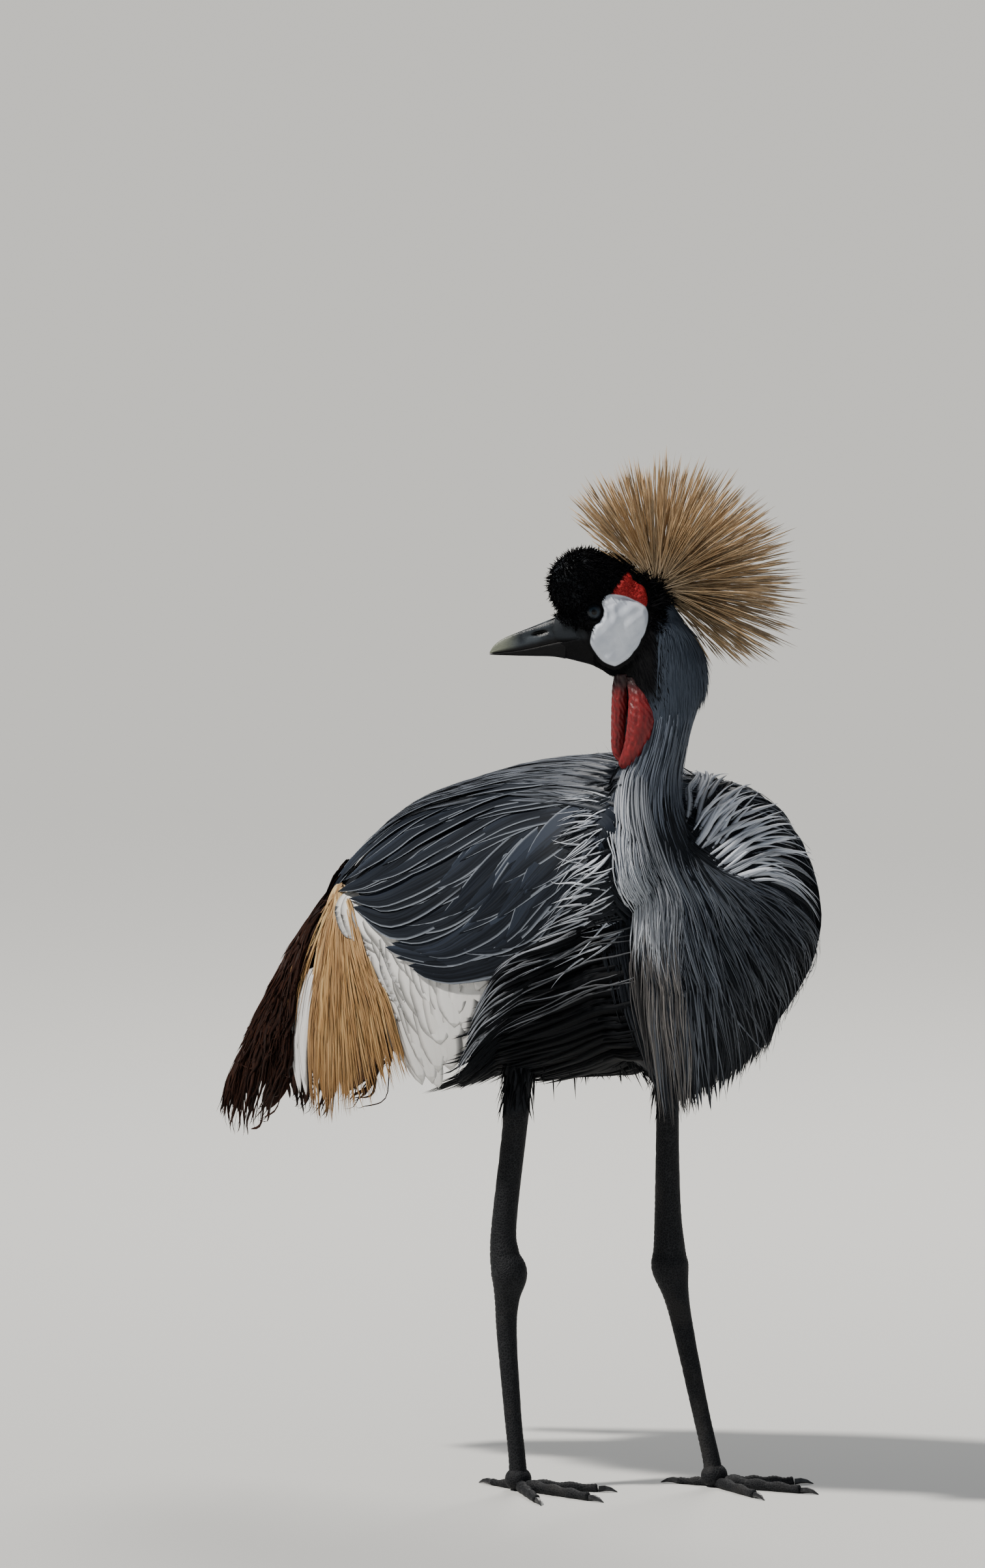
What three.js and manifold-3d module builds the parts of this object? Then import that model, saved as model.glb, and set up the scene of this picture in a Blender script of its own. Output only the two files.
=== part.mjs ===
// Grey crowned crane, standing, head turned back over its right shoulder.
// Millimetres. +Z is up, the bird heads along -Y and its left side is +X.
// Points are written as (left, forward, up) and turned into X, Y, Z by at().

import * as THREE from 'three';
import { mergeVertices } from 'three/addons/utils/BufferGeometryUtils.js';
import Module from 'manifold-3d';

const wasm = await Module();
wasm.setup();

// Driving dimensions
const gap = 0.35;                    // clearance between touching parts
const originShift = [0, -104.6, 0];  // puts the middle of the whole bird's box over the origin

// Trunk sections: forward, middle, half width, top, bottom, lean to the left with height
const trunkStations = [
  [-262, 0, 12, 470, 440, 0],
  [-250, 0, 34, 494, 424, 0],
  [-215, 0, 62, 528, 400, 0],
  [-150, 0, 95, 578, 382, 0],
  [-75, 0, 112, 618, 370, 0],
  [0, 0, 118, 636, 374, 0],
  [50, 2, 116, 640, 376, 0.03],
  [80, 5, 111, 638, 364, 0.12],
  [110, 8, 98, 626, 370, 0.25],
  [138, 11, 80, 596, 400, 0.35],
  [160, 18, 60, 560, 436, 0.35],
  [174, 18, 30, 524, 472, 0.3],
  [180, 18, 6, 504, 494, 0.3],
];
const breastStart = 50;              // the trunk ends and the breast begins here

// Folded wing sections: forward, half width, top, bottom
const wingStations = [
  [100, 96, 578, 548],
  [88, 112, 604, 542],
  [50, 127, 642, 522],
  [0, 134, 654, 478],
  [-50, 133, 649, 428],
  [-92, 130, 641, 386],
  [-140, 124, 626, 364],
  [-200, 112, 604, 342],
  [-245, 98, 574, 328],
  [-280, 82, 540, 318],
  [-310, 70, 500, 306],
  [-345, 58, 448, 298],
  [-376, 50, 390, 294],
  [-392, 46, 350, 304],
  [-398, 43, 330, 312],
];
const wingTopAngle = 1.5;            // degrees round the section where the wing starts
const wingBottomAngle = 112;         // and where its lower edge hangs
const wingThickness = 27;            // reaches in to the trunk
const wingTailThickness = 7;
const wingCoreDepth = 3;             // the feathers lie over a core this far inside the outline
const wingCoreEnd = -300;            // and hang free behind this forward distance
const wingCoreShares = [0.88, 0.74]; // and below these shares of the way down, in front and at the rear
const wingRoom = 5.6;                // neighbours keep this far off the wing's outline

// Neck, from the breast up: left, forward, up, half width across, half width along, turn toward the head
const neckStations = [
  [-12, 104, 470, 84, 60, 0],
  [-18, 98, 505, 80, 54, 0],
  [-28, 90, 540, 68, 46, 0],
  [-44, 74, 575, 43, 39, 0],
  [-52, 67, 610, 34, 34, 0],
  [-47, 65, 645, 29, 29, 0],
  [-40.5, 70.5, 675, 26, 27.5, 14],
  [-37.5, 75, 702, 26.5, 30.5, 26],
  [-36.5, 77, 730, 26, 39, 33],
  [-35, 79, 755, 25, 39, 35],
  [-38, 76, 775, 23, 36, 35],
  [-41, 72, 787, 20, 32, 35],
  [-45, 66, 796, 14, 24, 35],
  [-48, 62, 802, 7, 13, 35],
];
const neckStart = 645;               // height where the neck leaves the breast plumage

// Head: its own axes are toward the bill, toward the head's left, and up
const headPlace = [-71, 24.2, 795.5];
const headTurn = 145;                // degrees that the head is turned to the bird's right
// Skull sections: toward the bill, top, bottom, half width
const skullStations = [
  [-76, -6, -18, 5],
  [-69, 6, -36, 13],
  [-54, 22, -52, 19],
  [-36, 34, -60, 22],
  [-18, 37, -60, 22.5],
  [0, 34, -51, 21],
  [14, 20, -47, 16],
  [26, 2, -44, 12],
  [36, -8, -41, 9],
  [40, -12, -38, 6],
];
const velvetPlace = [5, 0, 23];
const velvetSize = [34.5, 25, 35.5];
const cheekPlace = [-21, 15, -18];
const cheekSize = [24, 11, 31];
const redPatchPlace = [-32, 7, 25];
const redPatchSize = [15, 9, 10];
const eyePlace = [0, 16.2, 0];
const eyeRadius = 7.5;
const lidRadius = 6.4;
const lidThickness = 1.7;
const lidOut = 5.4;
const mouthCorner = [[34, -28.6], [14, -24.4]];   // the mouth line runs on from the bill, toward bill and up
const mouthLineWidth = 0.8;
const mouthLineOut = 8;              // and starts this far from the head's middle plane

// Bill sections: toward the tip, culmen, mouth line, lower edge, half width
const billStations = [
  [24, -4, -26.5, -44, 10],
  [36, -8, -29, -42, 8.6],
  [52, -14.5, -33, -41.5, 6.8],
  [66, -20, -36, -41.2, 5],
  [80, -26, -38, -40.8, 3.4],
  [88, -32, -38.9, -40.5, 1.9],
  [92, -38.2, -39.3, -40, 0.5],
];

const nostrilPlace = [48, 7.6, -20.5];
const nostrilSize = [7.4, 2.2, 2.4];

const crestRoot = [-56, 0, 20];
const crestBoss = 14;
const crestMiddle = 131;             // degrees from the bill's direction, over the top
const crestSpread = 84;              // and to each side of that, fore and aft
const crestSideSpread = 47;
const crestLengths = [[46, 115], [100, 118], [150, 124], [187, 127], [216, 112]];   // by lean
const bristleCount = 76;
const bristleHalf = 0.8;
const goldenAngle = 2.39996;

// Wattle folds from the top: up, toward the bill, side, half width along, half width across
const nearFold = [
  [-66, -33, 10, 6, 5],
  [-80, -35, 17, 11, 9],
  [-96, -37, 20, 14, 10],
  [-112, -35, 20, 12, 9],
  [-128, -31, 17, 8, 7],
  [-138, -29, 14, 5, 5],
  [-141, -28.5, 13, 1.5, 1.5],
];
const farFold = [
  [-68, -31, 4, 7, 8],
  [-82, -27, 1, 9, 9],
  [-98, -25, -3, 9, 9],
  [-114, -24, -6, 7, 8],
  [-126, -25, -7, 4.5, 5],
  [-131, -26, -7, 1.5, 2],
];

// Legs: left, forward, up, half width, from the belly down
const legPaths = {
  left: [
    [48, 30, 420, 18],
    [50, 22, 370, 12.5],
    [51, 20, 330, 10.5],
    [53, 19, 250, 12],
    [54, 20, 212, 14.5],
    [54, 21, 194, 17],
    [54.5, 27, 170, 12],
    [55.5, 34, 140, 9.6],
    [57, 51, 70, 8],
    [58, 62, 28, 8],
    [58, 66, 12, 9],
  ],
  right: [
    [-48, -60, 420, 19],
    [-51, -70, 370, 13.5],
    [-52, -73, 330, 11.5],
    [-55, -83, 240, 11.5],
    [-56, -82, 211, 13.5],
    [-56, -77, 193, 16.5],
    [-56.5, -79, 170, 11.5],
    [-57, -79, 140, 9.4],
    [-58, -72, 70, 8],
    [-58, -67, 28, 8],
    [-58, -66, 12, 9],
  ],
};
const hockHeight = 206;
const footPad = [13, 12, 11];        // half sizes of the pad where the toes meet
const footPlaces = { left: [58, 66], right: [-58, -66] };
// Toes: name, degrees from straight ahead (outward positive), length, half width at the root
const toes = [
  ['inner', -32, 72, 5.6],
  ['middle', 2, 86, 6],
  ['outer', 36, 72, 5.6],
  ['hind', 186, 34, 4.6],
];
const clawLength = 17;
const clawHalfWidth = 3.1;

const tailStart = [0, -240, 456];
const tailEnd = [0, -382, 312];
const tailFeathers = 6;

// Plumage
const featherSeed = 4321;
const fringeStart = 430;             // below this height the breast's feathers hang free
const fringeDraw = 0.35;             // and draw in by this much a millimetre

// Rows of feathers, each from a first to a last one, given by root and tip.
// On a wing a place is its forward distance and its share of the way down.
const wide = [0, 0.14, 0.52, 1];
const long = [0, 0.08, 0.28, 0.5, 0.74, 1];
const darkLook = {
  spots: wide,
  lifts: [-7, 0.1, 1.7, 4],
  half: 21,
  thick: 1.5,
  roll: 0.9,
  bend: [0, 0.02],
  loose: 4,
};
const whiteLook = { ...darkLook, lifts: [-7, 0, 0.9, 0.8], half: 19, thick: 1.4, bend: [6, 0] };
const plumeLook = { ...whiteLook, spots: long, lifts: [-7, 0, 0.8, 1.2, 1.6, 2], half: 14, bend: [5, 0], loose: 3 };
const droopLook = { ...plumeLook, lifts: [-5.5, 0, 0.8, 0.8, 0.8, 0.8], half: 10, bend: [0, 0], bodyRadius: 60 };
const narrowLook = { ...darkLook, half: 15 };
const innerDroopLook = { ...droopLook, lifts: [-5.5, -5, -4.6, -4.4, -4.2, -4.2] };
const wingRows = [
  { count: 4, first: [[74, 0.12], [-22, 0.16]], last: [[54, 0.76], [-46, 0.83]], look: darkLook },
  { count: 4, first: [[38, 0.12], [-66, 0.16]], last: [[8, 0.73], [-82, 0.8]], look: darkLook },
  { count: 4, first: [[-18, 0.11], [-122, 0.15]], last: [[-46, 0.63], [-138, 0.71]], look: darkLook },
  { count: 3, first: [[-76, 0.12], [-182, 0.15]], last: [[-96, 0.5], [-190, 0.6]], look: darkLook },
  { count: 3, first: [[-130, 0.13], [-238, 0.19]], last: [[-148, 0.36], [-236, 0.46]], look: darkLook },
  { count: 3, first: [[-186, 0.15], [-292, 0.25]], last: [[-198, 0.3], [-275, 0.39]], look: narrowLook },
  { count: 5, first: [[-28, 0.81], [-50, 0.99]], last: [[-160, 0.64], [-196, 0.99]], look: whiteLook },
  { count: 6, first: [[-184, 0.58], [-184, 1]], last: [[-262, 0.38], [-288, 0.99]], look: plumeLook },
  { count: 4, first: [[-262, 0.21], [-386, 0.42]], last: [[-284, 0.52], [-392, 0.93]], look: droopLook },
  { count: 2, first: [[-270, 0.32], [-396, 0.56]], last: [[-284, 0.48], [-397, 0.86]], look: innerDroopLook },
];

const tailLook = { spots: wide, half: 13, thick: 1.5, bodyRadius: 200 };

// On the breast a place is in degrees round the neck, from the left over the front, and a height
const lockLook = { spots: wide, lifts: [-7, 1.6, 4, 7.5], half: 17, thick: 1.6, bend: [0, 0], loose: 3 };
const neckLockLook = { ...lockLook, half: 13, bodyRadius: 60 };
const beardLook = { ...lockLook, spots: long, lifts: [-7, 7, 8, 9, 10, 10], half: 10 };
const breastRows = [
  { count: 4, first: [[50, 604], [46, 522]], last: [[190, 604], [184, 520]], look: neckLockLook },
  { count: 5, first: [[34, 556], [36, 474]], last: [[188, 560], [180, 462]], look: lockLook },
  { count: 7, first: [[-10, 500], [-4, 436]], last: [[192, 508], [186, 408]], look: lockLook },
  { count: 3, first: [[-6, 462], [0, 424]], last: [[50, 468], [54, 428]], look: lockLook },
  { count: 3, first: [[68, 468], [70, 418]], last: [[116, 452], [116, 378]], look: lockLook },
  { count: 3, first: [[130, 448], [126, 368]], last: [[176, 450], [170, 358]], look: lockLook },
  { count: 3, first: [[148, 500], [156, 344]], last: [[172, 500], [176, 342]], look: beardLook },
];

// Round the trunk a place is its forward distance and degrees from the top over the left
const mantleRows = [
  { count: 5, first: [[64, -4], [-8, 12]], last: [[116, 28], [90, 70]], look: lockLook },
  { count: 4, first: [[60, 20], [-22, 44]], last: [[118, 58], [86, 96]], look: lockLook },
  { count: 3, first: [[66, -60], [-10, -52]], last: [[92, -84], [24, -96]], look: lockLook },
];
const flankLook = { ...lockLook, lifts: [-7, 2, 6.2, 8], half: 17, bend: [0, 3], loose: 4 };
const flankRows = [
  { count: 4, first: [[42, 93], [-45, 112]], last: [[38, 146], [-48, 156]], look: flankLook },
  { count: 3, first: [[6, 114], [-80, 130]], last: [[0, 158], [-84, 166]], look: flankLook },
  { count: 2, first: [[-35, 143], [-118, 150]], last: [[-42, 166], [-124, 172]], look: flankLook },
  { count: 2, first: [[-98, 158], [-170, 160]], last: [[-102, 173], [-174, 174]], look: flankLook },
];

// Colours
const slate = { color: 0x4a505a, roughness: 0.8, metalness: 0 };
const paleSlate = { color: 0x8d949e, roughness: 0.8, metalness: 0 };
const black = { color: 0x0c0c0e, roughness: 0.9, metalness: 0 };
const gold = { color: 0xc9a36a, roughness: 0.7, metalness: 0 };
const chestnut = { color: 0x32201a, roughness: 0.8, metalness: 0 };
const billGrey = { color: 0x2a2c2e, roughness: 0.5, metalness: 0 };
const red = { color: 0xa8282a, roughness: 0.6, metalness: 0 };
const legBlack = { color: 0x1b1c1e, roughness: 0.7, metalness: 0 };
const eyeBlue = { color: 0x7f98a5, roughness: 0.15, metalness: 0 };

// Placing and interpolating
const radians = THREE.MathUtils.degToRad;

function at(left, forward, up) {
  return new THREE.Vector3(left + originShift[0], -forward + originShift[1], up + originShift[2]);
}

// A smooth curve through one column of a station table
function stationValue(stations, position, column) {
  const last = stations.length - 1;
  const rising = stations[last][0] > stations[0][0];
  let i = 0;
  while (i < last - 1 && (rising ? position > stations[i + 1][0] : position < stations[i + 1][0])) i += 1;
  const slope = (k) => {
    const a = Math.max(k - 1, 0);
    const b = Math.min(k + 1, last);
    return (stations[b][column] - stations[a][column]) / (stations[b][0] - stations[a][0]);
  };
  const step = stations[i + 1][0] - stations[i][0];
  const t = THREE.MathUtils.clamp((position - stations[i][0]) / step, 0, 1);
  const t2 = t * t;
  const t3 = t2 * t;
  return (2 * t3 - 3 * t2 + 1) * stations[i][column] + (t3 - 2 * t2 + t) * step * slope(i)
    + (3 * t2 - 2 * t3) * stations[i + 1][column] + (t3 - t2) * step * slope(i + 1);
}

// Closed meshes
function closedMesh(points, triangles) {
  const geometry = new THREE.BufferGeometry();
  const values = points.flatMap((p) => [p.x, p.y, p.z]);
  geometry.setAttribute('position', new THREE.Float32BufferAttribute(values, 3));
  geometry.setIndex(triangles.flat());
  return geometry;
}

// Skins a list of rings with the same number of points. A round ring's end is closed with a middle point,
// a flat ring's, made of an outer row and the inner row back, with a strip between the two rows.
function loft(rings, flat = false) {
  const count = rings[0].length;
  const points = rings.flat();
  const triangles = [];
  for (let r = 0; r < rings.length - 1; r += 1) {
    for (let i = 0; i < count; i += 1) {
      const a = r * count + i;
      const b = r * count + (i + 1) % count;
      triangles.push([a, b, b + count], [a, b + count, a + count]);
    }
  }
  for (const [ring, flip] of [[0, true], [rings.length - 1, false]]) {
    const start = ring * count;
    const close = (...corners) => {
      const triangle = corners.map((corner) => start + corner);
      triangles.push(flip ? triangle.reverse() : triangle);
    };
    if (flat) {
      for (let i = 0; i < count / 2 - 1; i += 1) {
        close(i, i + 1, count - 2 - i);
        close(i, count - 2 - i, count - 1 - i);
      }
    } else {
      const middle = new THREE.Vector3();
      rings[ring].forEach((p) => middle.addScaledVector(p, 1 / count));
      points.push(middle);
      for (let i = 0; i < count; i += 1) close(i, (i + 1) % count, points.length - 1 - start);
    }
  }
  return closedMesh(points, triangles);
}

function toSolid(geometry) {
  const bare = new THREE.BufferGeometry();
  bare.setAttribute('position', geometry.getAttribute('position'));
  bare.setIndex(geometry.getIndex());
  const merged = mergeVertices(bare, 1e-4);
  const vertProperties = new Float32Array(merged.getAttribute('position').array);
  const triVerts = new Uint32Array(merged.getIndex().array);
  let volume = 0;
  const [a, b, c] = [new THREE.Vector3(), new THREE.Vector3(), new THREE.Vector3()];
  for (let i = 0; i < triVerts.length; i += 3) {
    a.fromArray(vertProperties, 3 * triVerts[i]);
    b.fromArray(vertProperties, 3 * triVerts[i + 1]);
    c.fromArray(vertProperties, 3 * triVerts[i + 2]);
    volume += a.dot(b.cross(c));
  }
  if (volume < 0) {
    for (let i = 0; i < triVerts.length; i += 3) {
      [triVerts[i], triVerts[i + 1]] = [triVerts[i + 1], triVerts[i]];
    }
  }
  return new wasm.Manifold(new wasm.Mesh({ numProp: 3, vertProperties, triVerts }));
}

function toGeometry(solid) {
  const bodies = solid.decompose();
  bodies.sort((p, q) => q.volume() - p.volume());
  const mesh = bodies[0].getMesh();
  const geometry = new THREE.BufferGeometry();
  geometry.setAttribute('position', new THREE.Float32BufferAttribute(mesh.vertProperties, 3));
  geometry.setIndex(Array.from(mesh.triVerts));
  return geometry;
}

const group = new THREE.Group();

function addNode(name, solid, look) {
  const mesh = new THREE.Mesh(toGeometry(solid), new THREE.MeshStandardMaterial(look));
  mesh.name = name;
  group.add(mesh);
  return mesh;
}

// Trunk
function trunkSection(forward) {
  return [1, 2, 3, 4, 5].map((column) => stationValue(trunkStations, forward, column));
}

function trunkPoint(forward, angle, extra = 0) {
  const [middle, halfWidth, top, bottom, lean] = trunkSection(forward);
  const rise = ((top - bottom) / 2 + extra) * Math.cos(angle);
  const side = (halfWidth + extra) * Math.sin(angle);
  return at(middle + side + lean * rise, forward, (top + bottom) / 2 + rise);
}

function trunkForm(extra) {
  const sides = 22;
  const rings = [];
  const places = [-262, -248, -222, -180, -120, -55, 0, 50, 95, 130, 157, 180];
  places.forEach((forward, r) => {
    const end = r === 0 ? -extra : r === places.length - 1 ? extra : 0;
    const ring = [];
    for (let i = 0; i < sides; i += 1) ring.push(trunkPoint(forward, (2 * Math.PI * i) / sides, extra));
    ring.forEach((p) => { p.y -= end; });
    rings.push(ring);
  });
  return toSolid(loft(rings));
}

// A wide box that keeps what lies ahead of a given forward distance
function aheadOf(forward) {
  const size = 1200;
  const box = new THREE.BoxGeometry(size, size, size);
  box.translate(originShift[0], originShift[1] - forward - size / 2, 500);
  return toSolid(mergeVertices(box.deleteAttribute('normal').deleteAttribute('uv')));
}

// A wide box that keeps what lies above a given height
function above(up) {
  const size = 1200;
  const box = new THREE.BoxGeometry(size, size, size);
  box.translate(originShift[0], originShift[1], up + size / 2);
  return toSolid(mergeVertices(box.deleteAttribute('normal').deleteAttribute('uv')));
}

// A wide box on one side of the bird's middle plane, kept off it by a distance
function besideMiddle(side, off) {
  const size = 1200;
  const box = new THREE.BoxGeometry(size, size, size);
  box.translate(side * (off + size / 2), 0, 500);
  return toSolid(mergeVertices(box.deleteAttribute('normal').deleteAttribute('uv')));
}

// Wings
function wingSection(forward) {
  return [1, 2, 3].map((column) => stationValue(wingStations, forward, column));
}

function wingSpan(angle) {
  return (1 - Math.cos(angle)) / (1 - Math.cos(radians(wingBottomAngle)));
}

function wingPoint(side, forward, share, depth) {
  const [halfWidth, top, bottom] = wingSection(forward);
  const angle = radians(wingTopAngle + (wingBottomAngle - wingTopAngle) * share);
  const left = (halfWidth - depth) * Math.sin(angle);
  return at(side * left, forward, top - depth * Math.cos(angle) - (top - bottom) * wingSpan(angle));
}

// A slab that follows the wing's outline between two depths, with a clearance past its edges
function wingSlab(side, places, outerDepth, extra) {
  const columns = extra > 0 ? 9 : 6;
  const last = places.length - 1;
  const edge = extra / 150;
  const rings = places.map((forward, r) => {
    const taper = extra > 0 ? 1 : Math.min(1, (r + 0.5) / 1.5) * Math.min(1, (last + 0.5 - r) / 1.5);
    const thick = THREE.MathUtils.lerp(wingThickness, wingTailThickness,
      THREE.MathUtils.smoothstep(-forward, 150, 290));
    const outer = [];
    const inner = [];
    const rearward = THREE.MathUtils.smoothstep(-forward, 0, 280);
    const lowest = extra > 0 ? 1 : THREE.MathUtils.lerp(...wingCoreShares, rearward);
    for (let i = 0; i <= columns; i += 1) {
      const share = i === 0 ? -edge : i === columns ? lowest + edge : (lowest * i) / columns;
      outer.push(wingPoint(side, forward, share, outerDepth));
      inner.push(wingPoint(side, forward, share, outerDepth + (thick + extra - outerDepth) * taper));
    }
    return [...outer, ...inner.reverse()];
  });
  return toSolid(loft(rings, true));
}

function wingCore(side) {
  const places = [84, 45, 0, -50, -100, -150, -200, -250, wingCoreEnd];
  return wingSlab(side, places, wingCoreDepth, 0);
}

// The room that the wing and its feathers take up
function wingRoomForm(side) {
  const places = [104, 84, 50, 5, -45, -95, -145, -190, -230, -265, -300, -340, -376, -405];
  return wingSlab(side, places, -wingRoom, 1.2);
}

// Whether a place in the bird lies inside the trunk, the neck's foot or a folded wing
function insideTrunk(left, forward, up) {
  const [middle, halfWidth, top, bottom, lean] = trunkSection(forward);
  if (forward < trunkStations[0][0] || forward > trunkStations[trunkStations.length - 1][0]) return false;
  const rise = up - (top + bottom) / 2;
  return Math.hypot(rise / ((top - bottom) / 2), (left - middle - lean * rise) / halfWidth) < 1;
}

function insideWing(left, forward, up) {
  const [halfWidth, top, bottom] = wingSection(forward);
  if (forward > wingStations[0][0] || up > top || up < bottom) return false;
  const fall = ((top - up) / (top - bottom)) * (1 - Math.cos(radians(wingBottomAngle)));
  return Math.abs(left) < halfWidth * Math.sin(Math.acos(1 - fall));
}

function insideNeck(left, forward, up) {
  if (up < neckStations[0][2]) return false;
  const [middleLeft, middleForward, across, along] = neckSection(up);
  return Math.hypot((left - middleLeft) / across, (forward - middleForward) / along) < 1;
}

// Where a ray from inside the body leaves it, lifted further by a distance
function leavingPoint(start, direction, lift) {
  let near = 0;
  let far = 260;
  for (let i = 0; i < 16; i += 1) {
    const middle = (near + far) / 2;
    const place = start.map((value, k) => value + direction[k] * middle);
    if (insideTrunk(...place) || insideWing(...place) || insideNeck(...place)) near = middle;
    else far = middle;
  }
  return at(...start.map((value, k) => value + direction[k] * (near + lift)));
}

// Places on the plumage: at a height, in degrees round the neck from the left over the front
function roundNeck(degrees, up, lift) {
  const level = Math.max(up, fringeStart);
  const [middleLeft, middleForward] = neckSection(level);
  const direction = [Math.cos(radians(degrees)), Math.sin(radians(degrees)), 0];
  const point = leavingPoint([middleLeft, middleForward, level], direction, lift);
  const hang = (level - up) * fringeDraw;
  return point.add(new THREE.Vector3(-direction[0] * hang, direction[1] * hang, up - level));
}

// and at a forward distance, in degrees round the trunk from the top over the left
function roundTrunk(forward, degrees, lift) {
  const [middle, , top, bottom] = trunkSection(forward);
  const direction = [Math.sin(radians(degrees)), 0, Math.cos(radians(degrees))];
  return leavingPoint([middle, forward, (top + bottom) / 2], direction, lift);
}

// Neck and breast
function neckSection(up) {
  const byHeight = neckStations.map((s) => [s[2], s[0], s[1], s[3], s[4], s[5]]);
  return [1, 2, 3, 4, 5].map((column) => stationValue(byHeight, up, column));
}

function neckForm(extra) {
  const sides = 16;
  const heights = [470, 505, 540, 575, 610, 645, 675, 702, 730, 755, 775, 787, 796, 802];
  const rings = heights.map((up, r) => {
    const [left, forward, across, along, turn] = neckSection(up);
    const [cos, sin] = [Math.cos(radians(turn)), Math.sin(radians(turn))];
    const ring = [];
    for (let i = 0; i < sides; i += 1) {
      const angle = (2 * Math.PI * i) / sides;
      const x = (across + extra) * Math.cos(angle);
      const y = (along + extra) * Math.sin(angle);
      const level = r < heights.length - 1 ? up : up + extra;
      ring.push(at(left + x * cos + y * sin, forward - x * sin + y * cos, level));
    }
    return ring;
  });
  return toSolid(loft(rings));
}

// Feathers
let draw = featherSeed;
function vary(amount) {
  draw = (draw * 16807) % 2147483647;
  return amount * ((2 * draw) / 2147483647 - 1);
}

// A vane along a path, four corners to a section and sharp at both edges, that ends in a point.
// Both faces are split into triangles alike. A roll lifts one edge and lowers the other.
function vane(path, outs, { spots, half, thick, roll = 0, bodyRadius = 120 }) {
  const corners = [];
  const triangles = [];
  const last = path.length - 1;
  for (let k = 0; k < last; k += 1) {
    const t = spots[k];
    const along = path[k + 1].clone().sub(path[Math.max(k - 1, 0)]).normalize();
    const out = outs[k].clone().addScaledVector(along, -outs[k].dot(along)).normalize();
    const across = new THREE.Vector3().crossVectors(along, out);
    const reach = half * Math.min(1, 0.4 + 3 * t) * Math.sqrt(1 - 0.8 * t * t);
    const drop = (reach * reach) / (2 * bodyRadius);
    const deep = (thick / 2) * (1 - 0.45 * t);
    const tilt = roll * Math.min(1, 6 * t);
    corners.push(path[k].clone().addScaledVector(across, reach).addScaledVector(out, tilt - drop));
    corners.push(path[k].clone().addScaledVector(out, deep));
    corners.push(path[k].clone().addScaledVector(across, -reach).addScaledVector(out, -tilt - drop));
    corners.push(path[k].clone().addScaledVector(out, -deep));
    const [l, u, r, b] = [0, 1, 2, 3].map((i) => 4 * k + i);
    if (k === last - 1) {
      triangles.push([l, u, l + 4], [u, r, l + 4], [r, b, l + 4], [b, l, l + 4]);
    } else {
      triangles.push([l, u, u + 4], [l, u + 4, l + 4], [u, r, u + 4], [r, r + 4, u + 4]);
      triangles.push([r, b, b + 4], [r, b + 4, r + 4], [b, l, b + 4], [l, l + 4, b + 4]);
    }
  }
  corners.push(path[last].clone());
  triangles.unshift([0, 3, 2], [0, 2, 1]);
  return toSolid(closedMesh(corners, triangles));
}

// A vane laid on a surface: place(a, b, lift) gives the surface's points, from and to are its root and tip.
// The spots are the shares of its length where it has sections, each with a lift off the surface.
function laidVane(place, from, to, look) {
  const path = [];
  const outs = [];
  look.spots.forEach((t, k) => {
    const sway = Math.sin(Math.PI * t);
    const a = THREE.MathUtils.lerp(from[0], to[0], t) + look.bend[0] * sway;
    const b = THREE.MathUtils.lerp(from[1], to[1], t) + look.bend[1] * sway;
    path.push(place(a, b, look.lifts[k]));
    outs.push(place(a, b, look.lifts[k] + 1).sub(path[k]).normalize());
  });
  return vane(path, outs, look);
}

// A row of vanes between a first and a last one, each given by its root and tip
function vaneRow(place, { count, first, last, shift = 0, look }) {
  const row = [];
  for (let i = 0; i < count; i += 1) {
    const t = count > 1 ? (i + shift) / (count - 1 + 2 * shift) : 0.5;
    const mix = (end, k) => THREE.MathUtils.lerp(first[end][k], last[end][k], t);
    const from = [mix(0, 0), mix(0, 1)];
    const to = [mix(1, 0) + vary(look.loose), mix(1, 1)];
    row.push(laidVane(place, from, to, look));
  }
  return row;
}

function joined(solids) {
  return solids.reduce((sum, solid) => sum.add(solid));
}

function wingFeathers(side) {
  const place = (forward, share, lift) => wingPoint(side, forward, share, -lift);
  return joined(wingRows.flatMap((row) => vaneRow(place, {
    ...row,
    look: { ...row.look, roll: side * row.look.roll },
  })));
}

function breastLocks() {
  return joined([
    ...breastRows.flatMap((row) => vaneRow(roundNeck, row)),
    ...mantleRows.flatMap((row) => vaneRow(roundTrunk, row)),
  ]);
}

function flankLocks() {
  return joined([1, -1].flatMap((side) => {
    const place = (forward, degrees, lift) => roundTrunk(forward, side * degrees, lift);
    return flankRows.flatMap((row) => vaneRow(place, row));
  }));
}

// Head
const headAxes = new THREE.Matrix4();
{
  const turn = radians(headTurn);
  const ahead = new THREE.Vector3(-Math.sin(turn), -Math.cos(turn), 0);
  const up = new THREE.Vector3(0, 0, 1);
  headAxes.makeBasis(ahead, new THREE.Vector3().crossVectors(up, ahead), up);
  headAxes.setPosition(at(...headPlace));
}

function onHead(ahead, side, up) {
  return new THREE.Vector3(ahead, side, up).applyMatrix4(headAxes);
}

function headBall(place, size, extra, across, down) {
  const ball = new THREE.SphereGeometry(1, across, down);
  ball.scale(size[0] + extra, size[1] + extra, size[2] + extra);
  ball.translate(...place);
  ball.applyMatrix4(headAxes);
  return toSolid(ball);
}

function skullForm(extra) {
  const sides = 14;
  const rings = skullStations.map(([ahead, top, bottom, halfWidth]) => {
    const ring = [];
    for (let i = 0; i < sides; i += 1) {
      const angle = (2 * Math.PI * i) / sides;
      ring.push(onHead(ahead, (halfWidth + extra) * Math.sin(angle),
        (top + bottom) / 2 + ((top - bottom) / 2 + extra) * Math.cos(angle)));
    }
    return ring;
  });
  return toSolid(loft(rings));
}

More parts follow.
